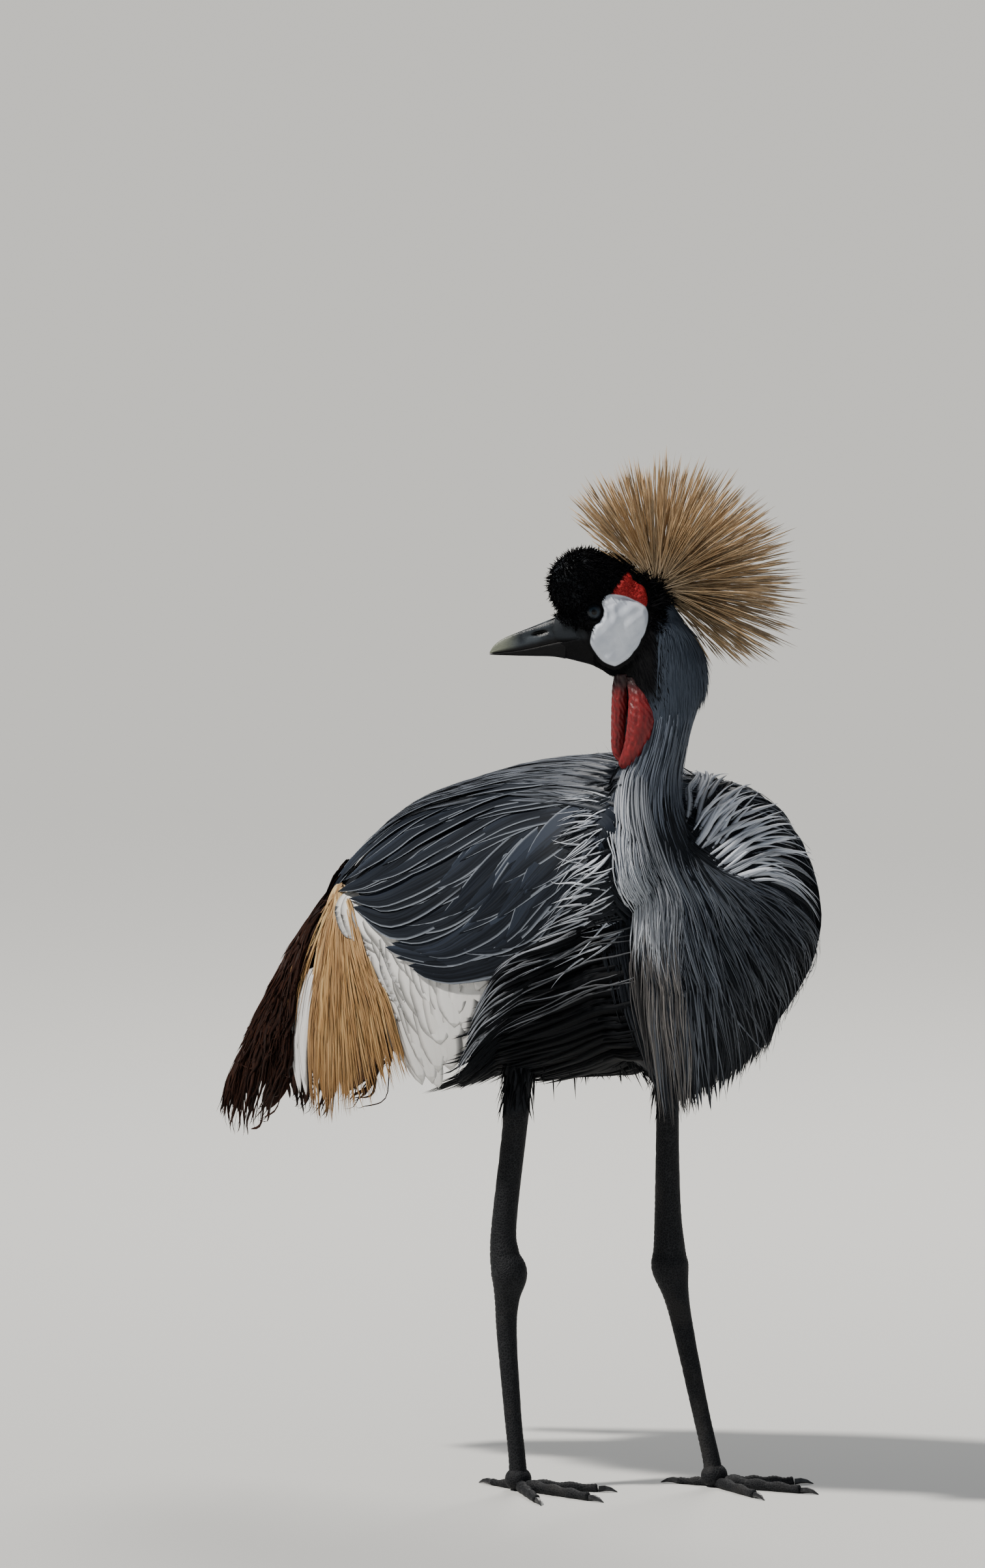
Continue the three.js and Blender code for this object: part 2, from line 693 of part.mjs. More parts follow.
function headForm(extra) {
  let head = skullForm(extra).add(headBall(velvetPlace, velvetSize, extra, 14, 9));
  for (const side of [1, -1]) {
    const mirrored = ([ahead, out, up]) => [ahead, side * out, up];
    head = head.add(headBall(mirrored(cheekPlace), cheekSize, extra, 10, 7));
    head = head.add(headBall(mirrored(redPatchPlace), redPatchSize, extra, 8, 5));
  }
  return head;
}

function lidRing(side) {
  const ring = new THREE.TorusGeometry(lidRadius, lidThickness, 4, 10);
  ring.rotateX(Math.PI / 2);
  ring.translate(eyePlace[0], side * (eyePlace[1] + lidOut), eyePlace[2]);
  ring.applyMatrix4(headAxes);
  return toSolid(ring);
}

function mouthLine(side) {
  const [start, end] = mouthCorner;
  const length = Math.hypot(end[0] - start[0], end[1] - start[1]);
  const groove = new THREE.BoxGeometry(length, 30, mouthLineWidth);
  groove.rotateY(-Math.atan2(end[1] - start[1], end[0] - start[0]));
  groove.translate((start[0] + end[0]) / 2, side * (15 + mouthLineOut), (start[1] + end[1]) / 2);
  groove.applyMatrix4(headAxes);
  return toSolid(mergeVertices(groove.deleteAttribute('normal').deleteAttribute('uv')));
}

// Bill: the upper half lies between culmen and mouth line, the lower between mouth line and chin
function billHalf(upper) {
  const rings = billStations.map(([ahead, culmen, mouth, chin, halfWidth]) => {
    const level = upper ? mouth + gap / 2 : mouth - gap / 2;
    const peak = upper ? culmen : chin;
    const ring = [];
    for (const share of [-1, -0.8, -0.35, 0, 0.35, 0.8, 1]) {
      const rise = Math.abs(share) === 1 ? 0.18 : Math.sqrt(1 - share * share * 0.92);
      ring.push(onHead(ahead, halfWidth * share, level + (peak - level) * rise));
    }
    for (const share of [0.96, 0, -0.96]) ring.push(onHead(ahead, halfWidth * share, level));
    return ring;
  });
  return toSolid(loft(rings));
}

function upperBill() {
  let bill = billHalf(true);
  for (const side of [1, -1]) {
    const [ahead, out, up] = nostrilPlace;
    bill = bill.subtract(headBall([ahead, side * out, up], nostrilSize, 0, 6, 4));
  }
  return bill;
}

// Crest: bristles that spread from a boss on the nape, measured by their lean from the bill's direction
function crestPoint(lean, sideLean, distance) {
  const level = Math.cos(radians(sideLean));
  return onHead(crestRoot[0] + distance * level * Math.cos(radians(lean)),
    crestRoot[1] + distance * Math.sin(radians(sideLean)),
    crestRoot[2] + distance * level * Math.sin(radians(lean)));
}

function bristle(lean, sideLean, length) {
  const axis = crestPoint(lean, sideLean, 1).sub(crestPoint(lean, sideLean, 0)).normalize();
  const first = new THREE.Vector3(0.3, 0.2, 0.9).cross(axis).normalize();
  const second = new THREE.Vector3().crossVectors(axis, first);
  const sag = vary(2.5);
  const points = [];
  [[crestBoss * 0.55, bristleHalf], [length * 0.62, bristleHalf * 0.8]].forEach(([distance, half], r) => {
    const centre = crestPoint(lean, sideLean, distance).addScaledVector(first, r * sag);
    for (let i = 0; i < 3; i += 1) {
      const angle = (2 * Math.PI * (i + r * 0.5)) / 3;
      points.push(centre.clone()
        .addScaledVector(first, half * Math.cos(angle))
        .addScaledVector(second, half * Math.sin(angle)));
    }
  });
  points.push(crestPoint(lean, sideLean, length));
  const triangles = [[0, 2, 1]];
  for (let i = 0; i < 3; i += 1) {
    const next = (i + 1) % 3;
    triangles.push([i, next, i + 3], [next, next + 3, i + 3], [i + 3, next + 3, 6]);
  }
  return toSolid(closedMesh(points, triangles));
}

function crestForm() {
  const ball = new THREE.IcosahedronGeometry(crestBoss, 1);
  ball.translate(...crestRoot);
  ball.applyMatrix4(headAxes);
  const boss = toSolid(mergeVertices(ball.deleteAttribute('normal').deleteAttribute('uv')));
  const bristles = [];
  for (let i = 0; i < bristleCount; i += 1) {
    const out = Math.sqrt((i + 0.5) / bristleCount);
    const turn = i * goldenAngle;
    const lean = crestMiddle + crestSpread * out * Math.cos(turn);
    const sideLean = crestSideSpread * out * Math.sin(turn);
    bristles.push(bristle(lean, sideLean, stationValue(crestLengths, lean, 1) * (1 + vary(0.05))));
  }
  return boss.add(joined(bristles));
}

// Wattle: two hanging folds grown together below the throat
function wattleFold(stations) {
  const sides = 10;
  const rings = stations.map(([up, ahead, side, halfAlong, halfAcross]) => {
    const ring = [];
    for (let i = 0; i < sides; i += 1) {
      const angle = (2 * Math.PI * i) / sides;
      ring.push(onHead(ahead + halfAlong * Math.cos(angle), side + halfAcross * Math.sin(angle), up));
    }
    return ring;
  });
  return toSolid(loft(rings));
}

// Legs: a tube with round sections along points given as left, forward, up, half width
function limb(path, extra) {
  const sides = 8;
  const steps = 17;
  const curve = new THREE.CatmullRomCurve3(path.map((p) => at(p[0], p[1], p[2])), false, 'centripetal');
  const widths = path.map((p, i) => [i, p[3]]);
  const rings = [];
  for (let k = 0; k <= steps; k += 1) {
    const t = k / steps;
    const centre = curve.getPoint(t);
    const along = curve.getTangent(t);
    const across = new THREE.Vector3(1, 0, 0).addScaledVector(along, -along.x).normalize();
    const third = new THREE.Vector3().crossVectors(along, across);
    const radius = stationValue(widths, t * (path.length - 1), 1) + extra;
    const ring = [];
    for (let i = 0; i < sides; i += 1) {
      const angle = (2 * Math.PI * i) / sides;
      ring.push(centre.clone()
        .addScaledVector(across, radius * Math.cos(angle))
        .addScaledVector(third, radius * Math.sin(angle)));
    }
    rings.push(ring);
  }
  return toSolid(loft(rings));
}

// A point on a foot, along a toe's direction and across it
function onToe(side, degrees, along, sideways, up) {
  const [left, forward] = footPlaces[side];
  const turn = radians(degrees + 6) * (side === 'left' ? 1 : -1);
  return at(left + along * Math.sin(turn) + sideways * Math.cos(turn),
    forward + along * Math.cos(turn) - sideways * Math.sin(turn), up);
}

function toeSolid(side, [, degrees, length, halfWidth], extra) {
  const steps = 3;
  const sides = 6;
  const rings = [];
  for (let k = 0; k <= steps; k += 1) {
    const knuckle = 1 + 0.1 * Math.cos(Math.PI * k);
    const half = halfWidth * (1 - 0.35 * k / steps) * knuckle + extra;
    const ring = [];
    for (let i = 0; i < sides; i += 1) {
      const angle = (2 * Math.PI * (i + 0.5)) / sides;
      const up = Math.max(-extra, half * 0.9 + half * Math.cos(angle));
      ring.push(onToe(side, degrees, (length * k) / steps, half * Math.sin(angle), up));
    }
    rings.push(ring);
  }
  return toSolid(loft(rings));
}

function footSolid(side, extra) {
  const [left, forward] = footPlaces[side];
  const pad = new THREE.SphereGeometry(1, 8, 6);
  pad.scale(footPad[0] + extra, footPad[1] + extra, footPad[2] + extra);
  pad.translate(...at(left, forward, footPad[2] - 1).toArray());
  const parts = toes.map((toe) => toeSolid(side, toe, extra));
  return joined([toSolid(pad).intersect(above(-extra)), ...parts]);
}

function clawSolid(side, [, degrees, length]) {
  const steps = 3;
  const sides = 5;
  const rings = [];
  for (let k = 0; k <= steps; k += 1) {
    const t = k / steps;
    const half = clawHalfWidth * (1 - 0.85 * t * t);
    const ring = [];
    for (let i = 0; i < sides; i += 1) {
      const angle = (2 * Math.PI * (i + 0.5)) / sides;
      const up = Math.max(0, half * 0.9 + half * Math.cos(angle) + 1.2 * Math.sin(Math.PI * t));
      ring.push(onToe(side, degrees, length + gap + clawLength * t, half * Math.sin(angle) * 0.8, up));
    }
    rings.push(ring);
  }
  return toSolid(loft(rings));
}

// Tail: a fan of feathers from a short stump, below the wings' drooping ends
function tailForm() {
  const slope = new THREE.Vector3().subVectors(at(...tailEnd), at(...tailStart));
  const length = slope.length();
  const along = slope.normalize();
  const out = new THREE.Vector3().crossVectors(along, new THREE.Vector3(1, 0, 0)).normalize();
  const spot = (left, share, lift) => at(left, tailStart[1], tailStart[2])
    .addScaledVector(along, length * share).addScaledVector(out, lift);
  const rings = [[0, 30, 11], [0.14, 34, 9], [0.3, 32, 6], [0.4, 26, 3]].map(([share, halfWidth, half]) => {
    const ring = [];
    for (let i = 0; i < 12; i += 1) {
      const angle = (2 * Math.PI * i) / 12;
      ring.push(spot(halfWidth * Math.cos(angle), share, half * Math.sin(angle)));
    }
    return ring;
  });
  const feathers = [];
  for (let i = 0; i < tailFeathers; i += 1) {
    const place = (2 * i) / (tailFeathers - 1) - 1;
    const level = 2.2 - 6 * Math.abs(place);
    const path = wide.map((t) => {
      const share = 0.2 + (0.8 - 0.06 * Math.abs(place)) * t;
      const lift = level * Math.min(1, 0.3 + 5 * t) + 3 * Math.sin(Math.PI * t);
      return spot(place * (22 + 14 * share), share, lift);
    });
    feathers.push(vane(path, path.map(() => out), { ...tailLook, roll: -Math.sign(place) }));
  }
  return toSolid(loft(rings)).add(joined(feathers));
}

// Assembly
const sides = ['left', 'right'];
const sign = { left: 1, right: -1 };
const trunk = trunkForm(0);
const trunkClear = trunkForm(gap);
const ahead = aheadOf(breastStart);
const neckAll = neckForm(0);
const neckClear = neckForm(gap);
const bothWingsRoom = wingRoomForm(1).add(wingRoomForm(-1));
const legsClear = limb(legPaths.left, gap).add(limb(legPaths.right, gap));

const torsoCore = trunk.subtract(ahead);
const torso = torsoCore.add(flankLocks()
  .subtract(bothWingsRoom)
  .subtract(legsClear)
  .subtract(aheadOf(breastStart)));

const torsoClear = trunkClear.subtract(aheadOf(breastStart + gap));
const breastCore = trunk.intersect(ahead).add(neckAll.subtract(above(neckStart))).subtract(torsoClear);
const breast = breastCore.add(breastLocks().subtract(torsoClear).subtract(bothWingsRoom).subtract(legsClear));

function wingSolid(side) {
  return wingCore(side)
    .add(wingFeathers(side))
    .subtract(trunkClear)
    .subtract(neckClear)
    .intersect(besideMiddle(side, gap / 2));
}

const headClear = headForm(gap);
let head = headForm(0).add(lidRing(1)).add(lidRing(-1));
const eyes = {};
sides.forEach((side) => {
  const place = [eyePlace[0], sign[side] * eyePlace[1], eyePlace[2]];
  const ball = [eyeRadius, eyeRadius, eyeRadius];
  eyes[side] = headBall(place, ball, 0, 10, 7);
  head = head.subtract(headBall(place, ball, gap, 10, 7)).subtract(mouthLine(sign[side]));
});

const wattle = wattleFold(nearFold).add(wattleFold(farFold)).subtract(neckClear).subtract(headClear);

addNode('torso', torso, slate);
addNode('breast', breast, paleSlate);
addNode('neck', neckAll.intersect(above(neckStart + gap)).subtract(headClear), paleSlate);
addNode('head', head, black);
addNode('bill_upper', upperBill().subtract(headClear), billGrey);
addNode('bill_lower', billHalf(false).subtract(headClear), billGrey);
addNode('crest', crestForm().subtract(headClear).subtract(neckClear), gold);
addNode('wattle', wattle, red);
addNode('tail', tailForm().subtract(trunkClear).subtract(bothWingsRoom), chestnut);
sides.forEach((side) => {
  addNode(`eye_${side}`, eyes[side], eyeBlue);
  addNode(`wing_${side}`, wingSolid(sign[side]), slate);
  const leg = limb(legPaths[side], 0);
  addNode(`shank_${side}`, leg.intersect(above(hockHeight + gap)).subtract(trunkClear), legBlack);
  addNode(`tarsus_${side}`, leg.subtract(above(hockHeight)).subtract(footSolid(side, gap)), legBlack);
  addNode(`foot_${side}`, footSolid(side, 0), legBlack);
  toes.forEach((toe) => addNode(`claw_${side}_${toe[0]}`, clawSolid(side, toe), legBlack));
});

export default group;
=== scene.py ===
import math

import bmesh
import bpy
import numpy as np
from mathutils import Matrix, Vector


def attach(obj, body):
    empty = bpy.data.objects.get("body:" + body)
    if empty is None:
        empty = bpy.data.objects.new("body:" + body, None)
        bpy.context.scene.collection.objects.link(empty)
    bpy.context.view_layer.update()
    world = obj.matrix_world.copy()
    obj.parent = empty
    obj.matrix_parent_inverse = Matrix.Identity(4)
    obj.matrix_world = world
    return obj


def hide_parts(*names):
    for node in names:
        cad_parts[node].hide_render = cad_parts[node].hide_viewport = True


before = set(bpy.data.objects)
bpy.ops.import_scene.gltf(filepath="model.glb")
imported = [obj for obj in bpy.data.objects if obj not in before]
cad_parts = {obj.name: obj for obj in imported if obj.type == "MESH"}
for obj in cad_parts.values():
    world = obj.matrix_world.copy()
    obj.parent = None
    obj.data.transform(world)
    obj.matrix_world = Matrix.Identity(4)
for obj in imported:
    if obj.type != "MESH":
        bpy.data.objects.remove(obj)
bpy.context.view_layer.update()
print("frame loaded")

# All lengths below are in millimetres in the bird's own directions: left, forward and up.
birdShift = -104.6                   # carries the bird's forward zero to the frame's -Y
mm = 0.001


def toFrame(left, forward, up):
    left, forward, up = np.broadcast_arrays(left, forward, up)
    return np.stack([left, birdShift - forward, up], axis=-1) * mm


def smoothStep(value, low, high):
    t = np.clip((value - low) / (high - low), 0, 1)
    return t * t * (3 - 2 * t)


def unit(vectors):
    return vectors / np.maximum(np.linalg.norm(vectors, axis=-1, keepdims=True), 1e-12)


# Section tables of the body, each row led by its position
bodySizes = {
    "trunk": [  # forward, middle, half width, top, bottom, lean to the left with height
        [-262, 0, 12, 470, 440, 0], [-250, 0, 34, 494, 424, 0], [-215, 0, 62, 528, 400, 0],
        [-150, 0, 95, 578, 382, 0], [-75, 0, 112, 618, 370, 0], [0, 0, 118, 636, 374, 0],
        [50, 2, 116, 640, 376, 0.03], [80, 5, 111, 638, 364, 0.12], [110, 8, 98, 626, 370, 0.25],
        [138, 11, 80, 596, 400, 0.35], [160, 18, 60, 560, 436, 0.35], [174, 18, 30, 524, 472, 0.3],
        [180, 18, 6, 504, 494, 0.3]],
    "wing": [  # forward, half width, top, bottom
        [-398, 43, 330, 312], [-392, 46, 350, 304], [-376, 50, 390, 294], [-345, 58, 448, 298],
        [-310, 70, 500, 306], [-280, 82, 540, 318], [-245, 98, 574, 328], [-200, 112, 604, 342],
        [-140, 124, 626, 364], [-92, 130, 641, 386], [-50, 133, 649, 428], [0, 134, 654, 478],
        [50, 127, 642, 522], [88, 112, 604, 542], [100, 96, 578, 548]],
    "neck": [  # up, left, forward, half width across, half width along, turn toward the head
        [470, -12, 104, 84, 60, 0], [505, -18, 98, 80, 54, 0], [540, -28, 90, 68, 46, 0],
        [575, -44, 74, 43, 39, 0], [610, -52, 67, 34, 34, 0], [645, -47, 65, 29, 29, 0],
        [675, -40.5, 70.5, 26, 27.5, 14], [702, -37.5, 75, 26.5, 30.5, 26], [730, -36.8, 76.5, 26, 38.3, 33],
        [755, -37, 76.2, 25, 36.5, 35], [775, -41, 72, 22.5, 32, 35], [787, -44.5, 67, 19, 27, 35],
        [796, -48, 62, 13, 19, 35], [802, -50, 59, 6, 10, 35]],
    "wingReach": (-396.5, 100),      # feathers stay between these places along the wing
    "wingTop": 1.5,                  # degrees round the section where the wing starts
    "wingBottom": 112,               # and where its lower edge hangs
    "fringeStart": 430,              # below this the breast's feathers hang free
    "fringeDraw": 0.35,
    "fanStart": (-22, 66, 520),      # the shoulders' feathers fan out round this point inside the neck's foot
    "neckJoins": (470, 715),         # heights where the neck counts as part of the body
    "deepest": 260,                  # no surface lies farther than this from the middle of the body
}


def sectionCurve(table, position, column):
    rows = np.array(table, float)
    x, y = rows[:, 0], rows[:, column]
    slope = np.empty(len(x))
    slope[1:-1] = (y[2:] - y[:-2]) / (x[2:] - x[:-2])
    slope[0] = (y[1] - y[0]) / (x[1] - x[0])
    slope[-1] = (y[-1] - y[-2]) / (x[-1] - x[-2])
    i = np.clip(np.searchsorted(x, position, side="right") - 1, 0, len(x) - 2)
    step = x[i + 1] - x[i]
    t = np.clip((position - x[i]) / step, 0, 1)
    return ((2 * t**3 - 3 * t**2 + 1) * y[i] + (t**3 - 2 * t**2 + t) * step * slope[i]
            + (3 * t**2 - 2 * t**3) * y[i + 1] + (t**3 - t**2) * step * slope[i + 1])


def trunkSection(forward):
    return [sectionCurve(bodySizes["trunk"], forward, c) for c in range(1, 6)]


def wingSection(forward):
    return [sectionCurve(bodySizes["wing"], forward, c) for c in range(1, 4)]


def neckSection(up):
    return [sectionCurve(bodySizes["neck"], up, c) for c in range(1, 6)]


def insideBody(left, forward, up):
    middle, halfWidth, top, bottom, lean = trunkSection(forward)
    rise = up - (top + bottom) / 2
    trunk = np.hypot(rise / ((top - bottom) / 2), (left - middle - lean * rise) / halfWidth) < 1
    trunk &= (forward > bodySizes["trunk"][0][0]) & (forward < bodySizes["trunk"][-1][0])
    halfWing, topWing, bottomWing = wingSection(forward)
    fall = (topWing - up) / (topWing - bottomWing) * (1 - math.cos(math.radians(bodySizes["wingBottom"])))
    reach = halfWing * np.sin(np.arccos(np.clip(1 - fall, -1, 1)))
    wing = (forward < bodySizes["wing"][-1][0]) & (up < topWing) & (up > bottomWing) & (np.abs(left) < reach)
    neckLeft, neckForward, across, along, _ = neckSection(up)
    neck = (up > bodySizes["neckJoins"][0]) & (up < bodySizes["neckJoins"][1])
    neck &= np.hypot((left - neckLeft) / across, (forward - neckForward) / along) < 1
    return trunk | wing | neck


def leavingPoint(start, direction, lift):
    near = np.zeros(start.shape[:-1])
    far = near + bodySizes["deepest"]
    for _ in range(15):              # halving the stretch each time
        middle = (near + far) / 2
        spot = start + direction * middle[..., None]
        inside = insideBody(spot[..., 0], spot[..., 1], spot[..., 2])
        near = np.where(inside, middle, near)
        far = np.where(inside, far, middle)
    return start + direction * (near + lift)[..., None]


# Places on the plumage: each takes arrays of two coordinates and a lift and gives points in the frame
def roundNeck(degrees, up, lift):
    level = np.maximum(up, bodySizes["fringeStart"])
    left, forward, _, _, _ = neckSection(level)
    angle = np.radians(degrees)
    direction = np.stack([np.cos(angle), np.sin(angle), np.zeros_like(angle)], axis=-1)
    spot = leavingPoint(np.stack([left, forward, level], axis=-1), direction, lift)
    hang = ((level - up) * bodySizes["fringeDraw"])[..., None]
    spot = spot - direction * hang
    return toFrame(spot[..., 0], spot[..., 1], up + 0 * spot[..., 2])


def roundTrunk(forward, degrees, lift):
    middle, _, top, bottom, _ = trunkSection(forward)
    angle = np.radians(degrees)
    direction = np.stack([np.sin(angle), np.zeros_like(angle), np.cos(angle)], axis=-1)
    spot = leavingPoint(np.stack([middle, forward, (top + bottom) / 2], axis=-1), direction, lift)
    return toFrame(spot[..., 0], spot[..., 1], spot[..., 2])


def wingPlace(side):
    top, bottom = bodySizes["wingTop"], bodySizes["wingBottom"]

    def place(forward, share, lift):
        forward, share = np.clip(forward, *bodySizes["wingReach"]), np.clip(share, 0, 1.05)
        halfWidth, high, low = wingSection(forward)
        angle = np.radians(top + (bottom - top) * share)
        fall = (1 - np.cos(angle)) / (1 - math.cos(math.radians(bottom)))
        return toFrame(side * (halfWidth + lift) * np.sin(angle), forward,
                       high + lift * np.cos(angle) - (high - low) * fall)
    return place


def fanPlace(azimuth, polar, lift):
    turnAngle, tilt = np.radians(azimuth), np.radians(polar)
    direction = np.stack([np.cos(turnAngle) * np.sin(tilt), np.sin(turnAngle) * np.sin(tilt),
                          np.cos(tilt)], axis=-1)
    start = np.broadcast_to(np.array(bodySizes["fanStart"], float), direction.shape)
    spot = leavingPoint(start, direction, lift)
    return toFrame(spot[..., 0], spot[..., 1], spot[..., 2])


# A shader socket that takes part in sums; a plain number or colour can stand beside it
class Wire:
    def __init__(self, tree, socket=None):
        self.tree = tree
        self.socket = socket

    def node(self, kind, settings=None, values=None, output=0):
        made = self.tree.nodes.new(kind)
        for key, value in (settings or {}).items():
            setattr(made, key, value)
        for key, value in (values or {}).items():
            if isinstance(value, Wire):
                self.tree.links.new(value.socket, made.inputs[key])
            else:
                made.inputs[key].default_value = value
        return Wire(self.tree, made.outputs[output])

    def math(self, operation, *values):
        return self.node("ShaderNodeMath", {"operation": operation}, dict(enumerate(values)))

    def __add__(self, other):
        return self.math("ADD", self, other)

    def __sub__(self, other):
        return self.math("SUBTRACT", self, other)

    def __rsub__(self, other):
        return self.math("SUBTRACT", other, self)

    def __mul__(self, other):
        return self.math("MULTIPLY", self, other)

    def __abs__(self):
        return self.math("ABSOLUTE", self)

    __radd__ = __add__
    __rmul__ = __mul__

    def between(self, low, high):    # 0 below low, 1 above high, smooth between
        return self.node("ShaderNodeMapRange", {"interpolation_type": "SMOOTHSTEP"},
                         {"Value": self, "From Min": low, "From Max": high})

    def mix(self, factor, first, second):
        colours = [(*c, 1) if isinstance(c, tuple) else c for c in (first, second)]
        return self.node("ShaderNodeMix", {"data_type": "RGBA", "clamp_factor": True},
                         {0: factor, 6: colours[0], 7: colours[1]}, 2)

    def attribute(self, name):
        return self.node("ShaderNodeAttribute", {"attribute_name": name}, output=2)

    def objectPlace(self):
        return self.node("ShaderNodeTexCoord", output=3)

    def noise(self, scale, detail=3.0, stretch=None):
        place = self.objectPlace()
        if stretch:
            place = self.node("ShaderNodeMapping", {}, {"Vector": place, "Scale": stretch})
        return self.node("ShaderNodeTexNoise", {}, {"Vector": place, "Scale": scale, "Detail": detail})

    def bump(self, strength, distance):
        return self.node("ShaderNodeBump", {}, {"Strength": strength, "Distance": distance, "Height": self})


def newFinish(name, fixed, paint):
    material = bpy.data.materials.new(name)
    material.use_nodes = True
    tree = material.node_tree
    tree.nodes.clear()
    shader = tree.nodes.new("ShaderNodeBsdfPrincipled")
    output = tree.nodes.new("ShaderNodeOutputMaterial")
    tree.links.new(shader.outputs[0], output.inputs[0])
    for key, value in fixed.items():
        shader.inputs[key].default_value = value
    for key, wire in paint(Wire(tree)).items():
        tree.links.new(wire.socket, shader.inputs[key])
    return material


def featherFinish(name, look):
    def paint(start):
        along, across, shade = (start.attribute(a) for a in ("along", "across", "shade"))
        edge = abs(across)
        barbs = (along * look["barbs"] - edge * look["barbSlant"] + shade * 7.0).math("SINE") * 0.5 + 0.5
        lengthwise = along * look["flecks"] + shade * 40.0
        place = start.node("ShaderNodeCombineXYZ", {}, {0: lengthwise, 1: across * 9.0})
        strands = start.node("ShaderNodeTexNoise", {"noise_dimensions": "2D"},
                             {"Vector": place, "Scale": 1.0, "Detail": 2.0})
        tint = start.mix(along.between(*look["tipFrom"]), look["root"], look["tip"])
        tint = start.mix(edge.between(*look["edgeFrom"]) * along.between(0.25, 0.6) * look["edgeShare"],
                         tint, look["edge"])
        tint = start.mix(shade.between(0.0, 1.0) * look["shadeShare"], tint, look["other"])
        # painted shade: the half of each feather that lies under its neighbour is darkened toward the root
        # colour
        tint = start.mix(across.between(-0.2, 0.5) * look["overlapShadeShare"], tint, look["root"])
        rim = edge.between(0.84, 0.98) * along.between(0.2, 0.5)
        tint = start.mix(rim * look["rimShare"], tint, look["rim"])
        tint = start.mix((1 - edge.between(0.02, 0.13)) * look["shaftShare"], tint, look["shaft"])
        tint = start.mix(strands.between(0.35, 0.7) * look["strandShare"], tint, look["strand"])
        tint = start.mix(barbs * look["barbShare"], tint, look["root"])
        height = barbs * 0.4 + strands * 0.6 + (1 - edge.between(0.0, 0.2)) * 0.5
        return {"Base Color": tint, "Normal": height.bump(look["bump"], 0.0006),
                "Roughness": look["roughness"] + strands * 0.15}

    return newFinish(name, {"Specular IOR Level": look["gloss"]}, paint)


def markMesh(mesh, marks):
    for key, value in marks.items():
        layer = mesh.attributes.new(key, "FLOAT", "POINT")
        layer.data.foreach_set("value", np.ascontiguousarray(value, np.float32))


def threes(data, field, kind=float):    # three numbers a row, such as the places of a mesh's points
    rows = np.empty(len(data) * 3, np.int32 if kind is int else np.float32)
    data.foreach_get(field, rows)
    return rows.reshape(-1, 3).astype(kind)


def addObject(name, data):
    made = bpy.data.objects.new(name, data)
    bpy.context.collection.objects.link(made)
    return made


def fillMesh(name, points, faceSets, marks=None, patches=None):
    loops = np.concatenate([faces.ravel() for faces in faceSets]).astype(np.int32)
    sizes = np.concatenate([np.full(len(faces), faces.shape[1]) for faces in faceSets])
    mesh = bpy.data.meshes.new(name)
    mesh.vertices.add(len(points))
    mesh.vertices.foreach_set("co", np.ascontiguousarray(points, np.float32).ravel())
    mesh.loops.add(len(loops))
    mesh.loops.foreach_set("vertex_index", loops)
    mesh.polygons.add(len(sizes))
    mesh.polygons.foreach_set("loop_start", np.concatenate([[0], np.cumsum(sizes)[:-1]]).astype(np.int32))
    mesh.update(calc_edges=True)
    mesh.validate()
    markMesh(mesh, marks or {})
    if patches is not None:
        layer = mesh.uv_layers.new(name="OFBake")
        layer.data.foreach_set("uv", np.ascontiguousarray(patches[loops], np.float32).ravel())
    mesh.polygons.foreach_set("use_smooth", np.ones(len(sizes), bool))
    return mesh


def addPiece(name, mesh, material, nodes=()):
    piece = addObject(name, mesh)
    piece.data.materials.clear()
    piece.data.materials.append(material)
    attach(piece, "root")
    if nodes:
        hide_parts(*nodes)
    print(name, len(mesh.polygons), "faces")
    return piece


draw = np.random.default_rng(4321)
# Cross sections of a feather: how far sideways and how far up each corner lies
tuftRing = [[-1, 0, 1], [0, 1, 0]]
narrowRing = [[-1, 0, 1, 0], [0, 1, 0, -1]]
broadRing = [[-1, -0.55, 0, 0.55, 1, 0.55, 0, -0.55], [0, 0.8, 1, 0.8, 0, -0.8, -1, -0.8]]
patchSize = 0.003                    # of one feather on its bed's map


def smallPatch(along, across):
    return patchSize * np.stack([along, across * 0.5 + 0.5], axis=-1)


# Feather bodies along their middle lines, each a closed ring of corners that runs to a point
def vaneShape(centre, out, width, thick, ring, camber, roll):
    sideways, upward = (np.array(r, float) for r in ring)
    count, steps = centre.shape[:2]
    corners = len(sideways)
    along = unit(np.gradient(centre, axis=1))
    out = unit(out - along * np.sum(out * along, axis=-1, keepdims=True))
    across = np.cross(along, out)
    turn = np.broadcast_to(roll, (count, steps))[..., None]
    across, out = across * np.cos(turn) + out * np.sin(turn), out * np.cos(turn) - across * np.sin(turn)
    half = width[..., None] * sideways
    rise = thick[..., None] * upward - camber * half ** 2 / np.maximum(width[..., None], 1e-6)
    rings = centre[:, :, None] + across[:, :, None] * half[..., None] + out[:, :, None] * rise[..., None]
    tips = centre[:, -1] + along[:, -1] * 1e-6
    body = rings[:, :-1].reshape(count, (steps - 1) * corners, 3)
    points = np.concatenate([body, tips[:, None]], axis=1).reshape(-1, 3)
    each = (steps - 1) * corners + 1
    first = np.arange(count)[:, None, None] * each
    k = np.arange(steps - 2)[None, :, None] * corners
    i = np.arange(corners)[None, None, :]
    j = (i + 1) % corners
    near, far = first + k, first + k + corners
    quads = np.stack([near + i, near + j, far + j, far + i], axis=-1)
    last = (steps - 2) * corners
    ends = np.stack([first + last + i, first + last + j, first + each - 1 + 0 * i], axis=-1)
    fan = np.arange(1, corners - 1)[None, :]
    start = np.arange(count)[:, None] * each
    roots = np.stack([start + 0 * fan, start + fan + 1, start + fan], axis=-1)
    acrossAll = np.tile(np.append(np.tile(sideways, steps - 1), 0), count)
    return points, [quads.reshape(-1, 4), ends.reshape(-1, 3), roots.reshape(-1, 3)], acrossAll, each


